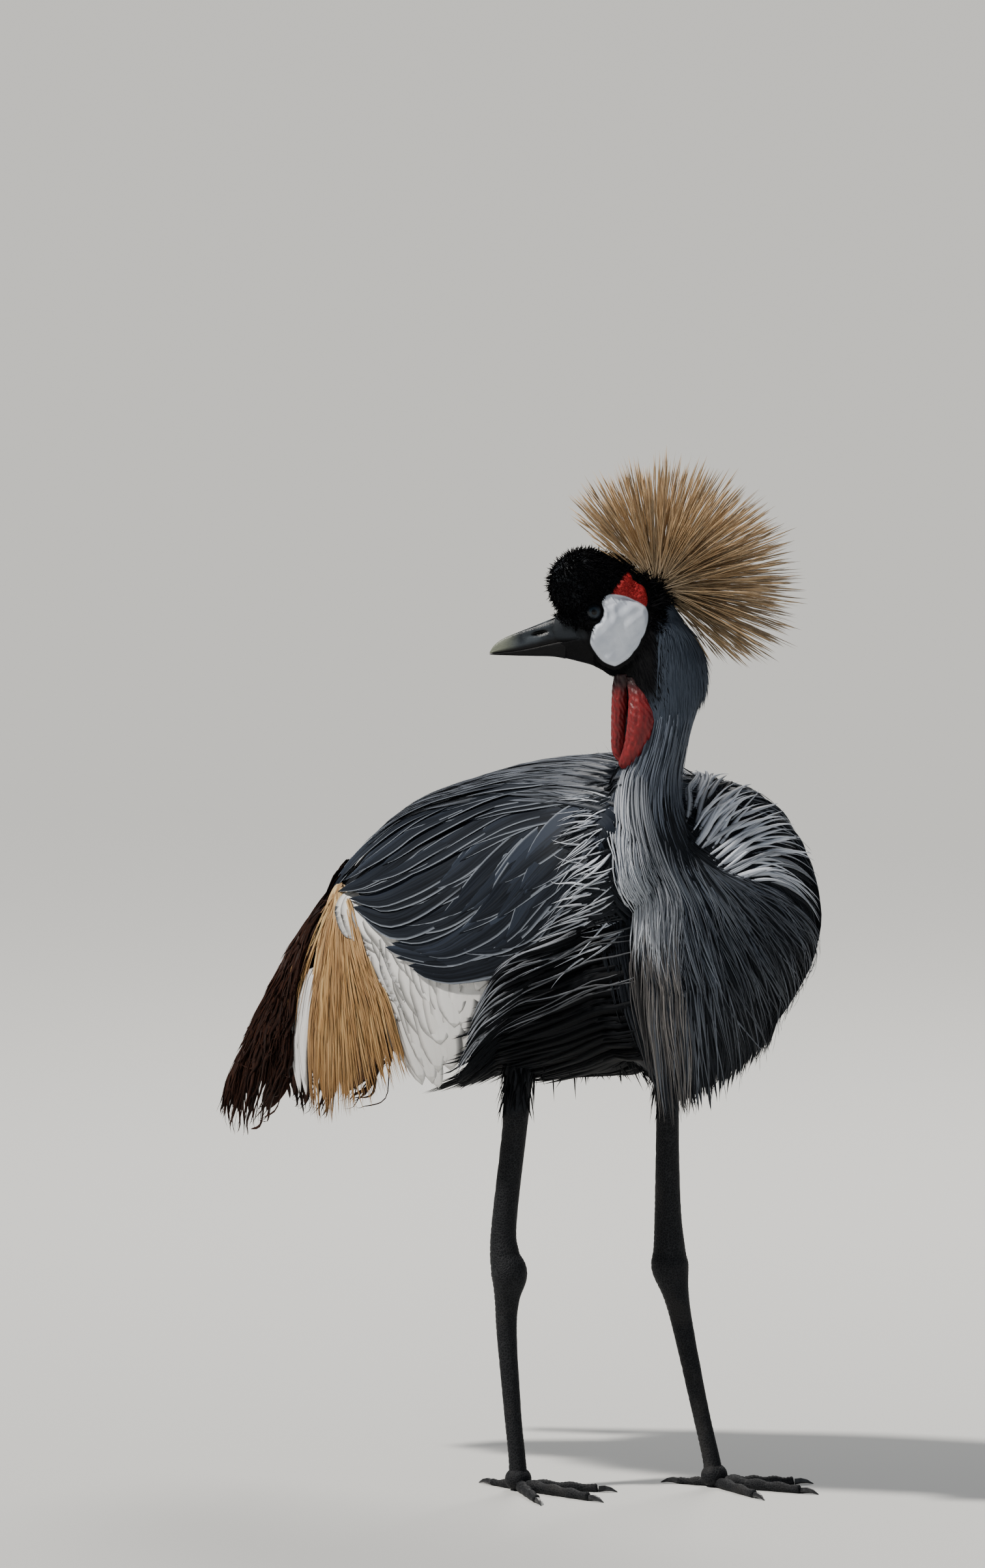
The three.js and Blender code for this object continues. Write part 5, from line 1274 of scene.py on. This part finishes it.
shoulderTracts = [
    {"name": "shoulder_left_far", "bed": "fan", "rows": farFanRows, "lay": (10, 28, (3, 1.5), (4, 3)),
     "finish": "breastStreak", "slot": "silver_plumage", "look": darkLook},
    {"name": "shoulder_left_dark", "bed": "fan", "sheet": fanSheets["left"], "lay": shoulderLay,
     "finish": "breastDark", "slot": "silver_plumage", "look": darkLook},
    {"name": "shoulder_left_lances", "bed": "fan", "sheet": fanSheets["left"], "lay": lanceLay,
     "finish": "lance", "slot": "silver_plumage",
     "look": {**lockLook, "steps": 13, "half": 2.2, "curlAxes": (1.5, 1), "lifts": (-1, 2.5, 4.5, 5),
              "liftSpread": 5, "thick": 0.5, "taper": 1.1, "sizeSpread": 0.5, "shadeBy": (1, 45, 90, 0.3)}},
    {"name": "shoulder_right_far", "bed": "fan", "rows": nearFanRows, "lay": (10, 28, (3, 1.5), (4, 3)),
     "finish": "backGrey", "slot": "silver_plumage", "look": darkLook},
    {"name": "shoulder_right_dark", "bed": "fan", "sheet": fanSheets["right"], "lay": shoulderLay,
     "finish": "breastDark", "slot": "silver_plumage", "look": darkLook},
    {"name": "shoulder_right_lances", "bed": "fan", "sheet": fanSheets["right"], "lay": lanceLay,
     "finish": "lance", "slot": "silver_plumage",
     "look": {**lockLook, "steps": 13, "half": 1.2, "curlAxes": (1.5, 1), "lifts": (-2, 1.5, 4, 6),
              "liftSpread": 7, "taper": 1.2, "clump": (1, 4, 0.4)}},
    {"name": "back_feathers", "bed": "trunk", "rows": backRows, "lay": (26, 20, (6, 3), (8, 4)),
     "finish": "backGrey", "slot": "wing_slate",
     "look": {**lockLook, "steps": 12, "half": 5.5, "curlAxes": (1, 0.6), "lifts": (-6, 1.6, 3, 3.6),
              "liftSpread": 2, "camber": 0.1}},
]
flankTracts = [
    {"name": "under", "rows": flankRows, "lay": (18, 26, (4, 3), (10, 6)),
     "finish": "flankBlack", "slot": "slate_plumage",
     "look": {**lockLook, "steps": 12, "half": 3.6, "lifts": (-7, 0.5, 2, 3), "curlAxes": (1, 1.2),
              "curl": 0.8, "bend": (0, 4)}},
    {"name": "locks", "sheet": flankSheet,
     "lay": {"tiers": 8, "count": 20, "span": 0.58, "stray": (0.05, 0.03), "drift": 0.05},
     "finish": "flankBlack", "slot": "slate_plumage", "look": flankLook},
    {"name": "lances", "sheet": flankSheet,
     "lay": {"tiers": 4, "count": 9, "span": 0.55, "stray": (0.1, 0.05), "drift": 0.08, "band": (0, 0.4)},
     "finish": "flankSilver", "slot": "silver_plumage",
     "look": {**flankLook, "half": 1.0, "lifts": (-4, 4, 9, 13), "liftSpread": 8}},
]
rearTracts = [
    {"name": "rump_feathers", "bed": "trunk", "rows": rumpRows, "lay": (8, 16, (4, 3), (8, 4)),
     "finish": "wingDark", "slot": "wing_slate", "look": {**lockLook, "half": 6, "lifts": (-5, 0, 1, 1.5)}},
    {"name": "tail_curls", "bed": "tail", "rows": tailRows, "lay": (12, 24, (3, 5), (5, 8)),
     "finish": "chestnut", "slot": "chestnut_plumage", "nodes": ("tail",),
     "look": {**lockLook, "steps": 13, "half": 3.4, "lifts": (-6, 1, 4, 8), "liftSpread": 12, "roll": 0.6,
              "ripple": (2.0, 2.0), "rippleTurns": 1.6}},
]
beardLook = {
    "lay": {"tiers": 12, "count": 44, "span": 0.36, "stray": (0.06, 0.05), "drift": 0.1},
    "kept": [(350, 470, 560), (0.5, 0.6, 1)],        # height of the tip, share of the strands
    "parting": 470,                  # silver above this height, brown-grey below
    # the upper beard is silver on the bird's right side and dark slate toward the front: partly the feathers'
    # own colour, partly painted light on the lit side
    "upper": {**strandLook, "clump": (0, 2, 0.5), "shadeBy": (0, 178, 144, 0.7)}}


def layTract(tract):
    if "rows" in tract:
        paths = featherTract(tract["rows"], *tract["lay"])
    else:
        paths = flowPaths(tract["sheet"], tract["lay"])
    layFeathers(tract["name"], beds[tract["bed"]], paths, tract["look"], tract["finish"], tract["slot"],
                tract.get("nodes", ()))


def dressBeard():
    paths = flowPaths(beardSheet, beardLook["lay"])
    height = paths[:, -1, 1]
    kept = draw.uniform(0, 1, len(paths)) < np.interp(height, *beardLook["kept"])
    upper = height > beardLook["parting"]
    layFeathers("breast_beard_upper", beds["neck"], paths[upper & kept], beardLook["upper"], "silver",
                "silver_plumage")
    layFeathers("breast_beard_lower", beds["neck"], paths[~upper & kept], strandLook, "beard",
                "silver_plumage")


def dressBody():
    for tract in breastTracts:
        layTract(tract)
    dressBeard()
    for tract in shoulderTracts:
        layTract(tract)
    for word in ("left", "right"):
        for tract in flankTracts:
            layTract({**tract, "name": f"flank_{word}_{tract['name']}", "bed": f"flank_{word}"})
    for tract in rearTracts:
        layTract(tract)


dressBody()
print("body dressed")

# The neck's short flat feathers, the strands below them and the loose ones round the tops of the legs
strandRows = [
    [[[-180, 700], [-180, 640]], [[180, 700], [180, 640]]],
    [[[-180, 650], [-180, 592]], [[180, 650], [180, 592]]],
    [[[-60, 622], [-60, 555]], [[170, 622], [164, 555]]],
    [[[0, 590], [0, 515]], [[160, 590], [160, 515]]]]
neckLook = {
    "steps": 4, "length": 18.0, "half": 0.75, "depth": 0.3, "taper": 1.6, "stand": 0.015, "droop": 0.008,
    "sink": 0.3, "sizeSpread": 0.35, "stray": 0.035, "smooth": True, "count": 12000, "lie": (0, 0, -1)}
thighLook = {
    **neckLook, "smooth": False, "length": 26.0, "half": 1.3, "stand": 0.06, "stray": 0.15, "count": 900,
    "lie": (0, 0.1, -1), "heights": (352, 420), "sides": (0.028, 0.07)}
neckTract = {
    "name": "neck_strands", "bed": "neck", "rows": strandRows, "lay": (12, 100, (3, 12), (2, 20)),
    "finish": "neckStrand", "slot": "silver_plumage",
    "look": {**lockLook, "half": 1.0, "thick": 0.25, "lifts": (-4, -1.6, 0.2, 1.4), "liftSpread": 1.4,
             "curl": 0.5, "shadeBy": (1, 500, 660, 0.6), "clump": (0, 5, 0.3)}}


def dressNeck():
    height = skinPoints[:, 2] / mm
    ahead, _, _ = toHead(skinPoints)
    area = (height > 600) & (height < 800) & (blackShare(skinPoints) < 0.99) & (ahead < 10) & (ahead > -110)
    points, normals = chooseSpots(area, neckLook["count"])
    slate = blackShare(points) < draw.uniform(0.1, 0.9, len(points))
    points, normals = points[slate], normals[slate]
    unwrapped = np.stack([headUnwrap(points)[:, 0], 0.02 + 0.9 * (points[:, 2] - 0.6) / 0.2], axis=-1)
    layTufts("neck_feathers", points, normals, neckLook["lie"], neckLook, unwrapped, "neckGrey")
    layTract(neckTract)
    low, high = thighLook["heights"]
    inner, outer = thighLook["sides"]
    for side, word in ((1, "left"), (-1, "right")):
        outwards = side * skinPoints[:, 0]
        area = (height > low) & (height < high) & (outwards > inner) & (outwards < outer)
        points, normals = chooseSpots(area, thighLook["count"])
        unwrapped = np.stack([0.5 + points[:, 1] * 2, 0.02 + 0.9 * (points[:, 2] - 0.33) / 0.1], axis=-1)
        layTufts(f"thigh_{word}", points, normals, thighLook["lie"], thighLook, unwrapped, "flankBlack")


dressNeck()
print("neck dressed")

crestLook = {
    "root": (-56, 0, 20), "middle": 133, "spread": 98, "sideSpread": 47, "count": 1250, "bundles": 320,
    "half": 0.5, "steps": 9, "bow": 3.2, "sag": 2.0, "rootSpread": 2.4, "turnOver": 9,
    "lengths": [  # degrees round from the bill over the crown, length
        [36, 64], [46, 114], [70, 116], [100, 119], [150, 125], [187, 127], [210, 122], [222, 104],
        [233, 72]]}


def dressCrest():
    count, bundles, steps = crestLook["count"], crestLook["bundles"], crestLook["steps"]
    bundle = np.arange(count) % bundles
    out = np.sqrt((bundle + 0.5) / bundles)
    spin = bundle * 2.39996                          # the golden angle spreads the bundles evenly
    lean = crestLook["middle"] + crestLook["spread"] * out * np.cos(spin) + draw.normal(size=count) * 1.3
    lean = np.radians(lean)
    sideLean = np.radians(crestLook["sideSpread"] * out * np.sin(spin) + draw.normal(size=count) * 1.3)
    length = np.interp(np.degrees(lean), *np.array(crestLook["lengths"], float).T)
    length = length * (1 - draw.uniform(0, 1, count) ** 2.5 * 0.3)
    length *= (1 + draw.normal(size=bundles) * 0.03)[bundle]
    t = np.linspace(0.02, 1, steps)
    direction = np.stack([np.cos(sideLean) * np.cos(lean), np.sin(sideLean), np.cos(sideLean) * np.sin(lean)],
                         axis=-1)
    bow = draw.normal(size=(count, 1, 3)) * crestLook["bow"]
    spots = (direction[:, None] * (length[:, None] * t)[..., None] + bow * (t ** 2)[None, :, None]
             + np.array([0, 0, -crestLook["sag"]]) * (t ** 3)[None, :, None])
    spots += draw.normal(size=(count, 1, 3)) * crestLook["rootSpread"] * (1 - t)[None, :, None]
    spots += np.array(crestLook["root"], float)
    centre = onHead(spots[..., 0], spots[..., 1], spots[..., 2])
    out = np.broadcast_to(unit(draw.normal(size=(count, 1, 3))), centre.shape)
    width = np.broadcast_to(crestLook["half"] * mm * (0.75 + 0.6 * t), (count, steps)).copy()
    twist = t[None] * crestLook["turnOver"] + draw.uniform(0, 6, (count, 1))
    points, faces, acrossAll, each = vaneShape(centre, out, width, width * 0.35, narrowRing, 0.0, twist)
    alongAll = np.tile(np.append(np.repeat(t[:-1], 4), 1), count)
    # painted shade: bristles leaning back and down are darkened, where the crest lies in shade
    paintedShadeToBack = smoothStep(np.degrees(lean), 120, 210) * 0.55
    shades = draw.uniform(-0.5, 0.8, bundles)[bundle] + draw.normal(size=count) * 0.4 + paintedShadeToBack
    marks = {"along": alongAll, "across": acrossAll, "shade": np.repeat(np.clip(shades, 0, 1), each)}
    patch = np.stack([0.05 + 0.9 * (np.degrees(lean) / 260 + 0.1), 0.5 + sideLean / 2.2], axis=-1)
    patch = np.repeat(np.clip(patch, 0.01, 0.98), each, axis=0) + smallPatch(alongAll, acrossAll)
    addPiece("crest_bristles", fillMesh("crest_bristles", points, faces, marks, patch), finishes["crestGold"],
             ("crest",))


dressCrest()
print("crest dressed")

wattleLook = {
    "voxel": 0.0007, "wrinkle": 0.9, "fineWrinkle": 0.34,
    # folds from the top: up, toward the bill, side, half width along, half width across
    "near": [[-58, -34, 10, 6, 6], [-67, -38, 13, 8.5, 7], [-75.4, -40.3, 16, 9.5, 8],
             [-93, -42, 19.5, 12, 9.5], [-105.6, -40.5, 20, 11.8, 9.5], [-117, -37, 19.5, 10, 8.5],
             [-128, -32.5, 18, 8.8, 7.5], [-135.7, -28.8, 16, 7, 6], [-141, -28.5, 14.5, 2, 2]],
    "far": [[-56, -27, 3, 8, 8], [-68, -24.5, 2, 8, 8], [-80, -23, 1, 7, 8.5], [-98, -22.5, -2, 7, 9],
            [-114, -22.2, -4, 6.6, 8], [-126, -22, -5, 6, 6], [-134, -23.5, -4, 3.5, 4],
            [-137, -24.5, -3, 1, 1]]}


def wattleShape(rows):
    c, s = circle(56)
    angle = np.arctan2(s, c)
    table = np.array(rows, float)[::-1]

    def ring(up):
        ahead, side, halfAlong, halfAcross = (sectionCurve(table, up, k) for k in (1, 2, 3, 4))
        wrinkle = np.abs(np.sin(angle * 6 + up * 0.18 + np.sin(up * 0.3))) ** 0.6
        wrinkle = wrinkle * wattleLook["wrinkle"] - 0.4
        wrinkle += np.sin(up * 0.9 + angle * 9 + 2 * np.sin(angle * 3)) * wattleLook["fineWrinkle"]
        wrinkle *= min(1.0, halfAlong / 5)
        return onHead(ahead + (halfAlong + wrinkle) * c, side + (halfAcross + wrinkle) * s, up)
    return tableLoft(ring, table[0, 0] + 0.3, table[-1, 0] - 0.3, 80)


def wattlePaint(start):
    veins = start.noise(260.0, 4.0, (1.0, 1.0, 0.35))
    tint = start.mix(veins.between(0.35, 0.7), (0.13, 0.005, 0.007), (0.23, 0.012, 0.014))
    # painted shadow: the wattle's top, where it hangs under the throat, is darkened almost to black
    tint = start.mix(start.attribute("level").between(716.0, 734.0) * 0.95, tint, (0.012, 0.003, 0.004))
    return {"Base Color": tint, "Normal": veins.bump(0.7, 0.001), "Roughness": veins * 0.3 + 0.35}


def makeWattle():
    folds = [wattleShape(wattleLook["near"]), wattleShape(wattleLook["far"])]
    mesh = remeshed("wattle_folds", folds, wattleLook["voxel"], 0.4, 2)
    markMesh(mesh, {"level": threes(mesh.vertices, "co")[:, 2] / mm})
    finish = newFinish("wattle", {"Specular IOR Level": 0.4, "Subsurface Weight": 0.06,
                                  "Subsurface Radius": (0.004, 0.001, 0.0006)}, wattlePaint)
    addPiece("wattle_folds", mesh, finish, ("wattle",))


makeWattle()
print("wattle made")

billLook = {
    "sections": [  # toward the tip, culmen, mouth line, lower edge, half width
        [24, -4, -26.5, -44, 10], [36, -8, -29, -42, 8.6], [52, -14.5, -33, -41.5, 6.8],
        [66, -20, -36, -41.2, 5], [80, -26, -38, -40.8, 3.4], [88, -32, -38.9, -40.5, 1.9],
        [92, -38.2, -39.3, -40, 0.5]],
    "nostril": (48, -20.5), "nostrilSize": (7.8, 2.3), "nostrilDepth": 2.6, "nostrilSlope": 0.22,
    "mouthGap": 0.2, "lip": 0.35, "trough": 0.7}


def aboveNostril(ahead, up):
    place = billLook["nostril"]
    return up + (ahead - place[0]) * billLook["nostrilSlope"] - place[1]


def fromNostril(ahead, up):          # 1 on the nostril's rim
    place, size = billLook["nostril"], billLook["nostrilSize"]
    return np.hypot((ahead - place[0]) / size[0], aboveNostril(ahead, up) / size[1])


def billShape(upper):
    angle = np.linspace(0, np.pi, 41)
    rings = []
    for ahead in np.concatenate([np.linspace(25, 86, 110), np.linspace(86.6, 91.9, 16)]):
        culmen, mouth, chin, half = (sectionCurve(billLook["sections"], ahead, k) for k in (1, 2, 3, 4))
        level = mouth + billLook["mouthGap"] * (1 if upper else -1)
        peak = culmen if upper else chin
        sideways = np.cos(angle) * half
        rise = np.sin(angle) ** (0.85 if upper else 0.7) * (peak - level)
        sideways = sideways + np.sign(np.cos(angle)) * billLook["lip"] * bell(np.sin(angle), 0.12, 0.1)
        side = np.concatenate([sideways, np.linspace(-half * 0.9, half * 0.9, 9)])
        up = np.concatenate([level + rise, np.full(9, level)])
        if upper:
            trough = bell(aboveNostril(ahead, up), 0, 2.6) * float(smoothStep(74 - ahead, 0, 22))
            dent = billLook["nostrilDepth"] * np.exp(-fromNostril(ahead, up) ** 4 * 1.4)
            dent += billLook["trough"] * trough
            side = side - np.sign(side) * dent * (np.abs(side) > 1)
        rings.append(onHead(ahead, side, up))
    return ringLoft(rings)


def billPaint(start):
    ahead, nostril = start.attribute("ahead"), start.attribute("nostril")
    grain = start.noise(500.0, 4.0, (1.0, 1.0, 3.0))
    cloud = start.noise(70.0)
    up = start.attribute("level")
    tint = start.mix(cloud.between(0.35, 0.7), (0.0015, 0.0015, 0.002), (0.004, 0.004, 0.005))
    # the upper mandible is painted lighter grey toward its top, with paler blotches: partly the horn's own
    # colour, partly painted light from above
    tint = start.mix(up.between(0.1, 0.5) * 0.85, tint, (0.022, 0.026, 0.031))
    tint = start.mix(up.between(0.1, 0.4) * cloud.between(0.4, 0.7) * 0.5, tint, (0.09, 0.105, 0.12))
    tint = start.mix(ahead.between(64.0, 84.0) * up.between(0.05, 0.4) * 0.8, tint, (0.22, 0.235, 0.18))
    # painted shade: the nostril's hollow is darkened to near black
    tint = start.mix(1 - nostril.between(0.75, 1.15), tint, (0.0015, 0.0015, 0.0015))
    return {"Base Color": tint, "Normal": (grain + cloud).bump(0.5, 0.0006),
            "Roughness": 0.55 - up.between(0.05, 0.4) * 0.25}


def makeBill():
    finish = newFinish("bill", {"Specular IOR Level": 0.2}, billPaint)
    for word in ("upper", "lower"):
        mesh = outward(meshOf(f"bill_{word}_horn", [billShape(word == "upper")]))
        ahead, _, up = toHead(threes(mesh.vertices, "co"))
        culmen, mouth = (sectionCurve(billLook["sections"], ahead, k) for k in (1, 2))
        level = np.clip((up - mouth) / (culmen - mouth), 0, 1)
        nostril = fromNostril(ahead, up) + (0 if word == "upper" else 5)
        markMesh(mesh, {"ahead": ahead, "nostril": nostril, "level": level})
        addPiece(f"bill_{word}_horn", mesh, finish, (f"bill_{word}",))


makeBill()
print("bill made")

eyeLook = {"radius": 7.5, "iris": 5.6, "bulge": 0.04}


def eyePaint(start):
    ring = start.attribute("ring")
    fibres = (start.attribute("spoke") * 60.0).math("SINE") * 0.5 + 0.5
    # painted shade: the iris is painted a dark blue-grey, much darker than its own pale colour, as if the eye
    # lay in shade
    tint = start.mix(fibres * 0.5, (0.006, 0.011, 0.016), (0.02, 0.034, 0.05))
    tint = start.mix(ring.between(0.7, 0.92), tint, (0.01, 0.012, 0.015))
    tint = start.mix(1 - ring.between(0.42, 0.47), tint, (0.002, 0.002, 0.002))
    return {"Base Color": tint}


def makeEyes():
    finish = newFinish("eye", {"Roughness": 0.25, "Specular IOR Level": 0.15, "Coat Weight": 0.2,
                               "Coat Roughness": 0.03}, eyePaint)
    c, s = circle(48)
    placeAhead, placeSide, placeUp = headLook["eye"]
    radius = eyeLook["radius"]
    for side, word in ((1, "left"), (-1, "right")):
        def ring(p, side=side):
            bulge = radius * (1 + eyeLook["bulge"] * math.exp(-(p / 0.6) ** 2))
            return onHead(placeAhead + radius * math.sin(p) * c, side * (placeSide + bulge * math.cos(p)),
                          placeUp + radius * math.sin(p) * s)
        mesh = outward(meshOf(f"eye_{word}_ball", [tableLoft(ring, 0.01, np.pi - 0.01, 40)]))
        ahead, across, up = toHead(threes(mesh.vertices, "co"))
        fromMiddle = np.hypot(ahead, up) / eyeLook["iris"] + 5 * (side * across < placeSide)
        markMesh(mesh, {"ring": fromMiddle, "spoke": np.arctan2(up, ahead)})
        addPiece(f"eye_{word}_ball", mesh, finish, (f"eye_{word}",))


makeEyes()
print("eyes made")


def clawPaint(start):
    grain = start.noise(400.0)
    return {"Base Color": start.mix(grain.between(0.4, 0.7), (0.008, 0.008, 0.009), (0.03, 0.03, 0.032)),
            "Roughness": grain * 0.2 + 0.3}


clawFinish = newFinish("claw", {"Specular IOR Level": 0.5}, clawPaint)
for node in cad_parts:
    if node.startswith("claw"):
        claw = bpy.data.objects[node]
        claw.data.materials.clear()
        claw.data.materials.append(clawFinish)
print("claws finished")

viewLook = {
    "azimuth": -55, "elevation": 7, "distance": 14.0, "across": -110.2, "level": 627.0, "tall": 1396.6,
    "lights": [  # name, kind, place toward the camera, right and up of the middle, size, energy, colour
        ("key", "SUN", (0.9, -2.0, 2.9), 0.07, 5.0, (1.0, 0.96, 0.9)),
        ("fill", "AREA", (2.6, 1.8, 0.6), 2.5, 10, (0.8, 0.9, 1.0)),
        ("rim", "AREA", (-2.0, 0.6, 2.2), 1.2, 70, (1.0, 0.97, 0.93))],
    "floor": (0.56, 0.56, 0.545), "floorHalf": 30,
    "skyLow": (0.34, 0.36, 0.39), "skyHigh": (0.17, 0.2, 0.24), "skyStrength": 0.62}


def makeView():
    a, e = math.radians(viewLook["azimuth"]), math.radians(viewLook["elevation"])
    back = np.array([math.sin(a) * math.cos(e), -math.cos(a) * math.cos(e), math.sin(e)])
    right = np.array([math.cos(a), math.sin(a), 0])
    up = np.cross(back, right)
    foot = np.array([0, birdShift * mm, 0])
    target = foot + right * viewLook["across"] * mm + up * viewLook["level"] * mm
    camera = addObject("camera", bpy.data.cameras.new("camera"))
    camera.location = target + back * viewLook["distance"]
    camera.rotation_euler = (math.pi / 2 - e, 0, a)
    camera.data.sensor_width = 36
    camera.data.lens = 36 * viewLook["distance"] / (viewLook["tall"] * mm)
    camera.data.clip_end = 100
    bpy.context.scene.camera = camera

    floor, h = bpy.data.meshes.new("floor"), viewLook["floorHalf"]
    floor.from_pydata([(-h, -h, 0), (h, -h, 0), (h, h, 0), (-h, h, 0)], [], [(0, 1, 2, 3)])
    floor.materials.append(newFinish("floor", {"Roughness": 0.9, "Base Color": (*viewLook["floor"], 1)},
                                     lambda start: {}))
    floorPiece = addObject("floor", floor)

    for name, kind, place, size, energy, colour in viewLook["lights"]:
        light = addObject(name, bpy.data.lights.new(name, kind))
        if kind == "SUN":
            light.data.angle = size
        else:
            light.data.size = size
        light.data.energy = energy
        light.data.color = colour
        place = back * place[0] + right * place[1] + up * place[2]
        light.location = target + place
        light.rotation_euler = Vector(place).to_track_quat("Z", "Y").to_euler()

    world = bpy.data.worlds.new("studio")
    world.use_nodes = True
    sky = Wire(world.node_tree)
    place = sky.node("ShaderNodeTexCoord")
    level = sky.node("ShaderNodeSeparateXYZ", {}, {"Vector": place}, 2)
    shade = sky.mix(level.between(0.1, 0.6), viewLook["skyLow"], viewLook["skyHigh"])
    background = world.node_tree.nodes["Background"]
    world.node_tree.links.new(shade.socket, background.inputs[0])
    background.inputs[1].default_value = viewLook["skyStrength"]
    bpy.context.scene.world = world


makeView()
print("view and lights set")
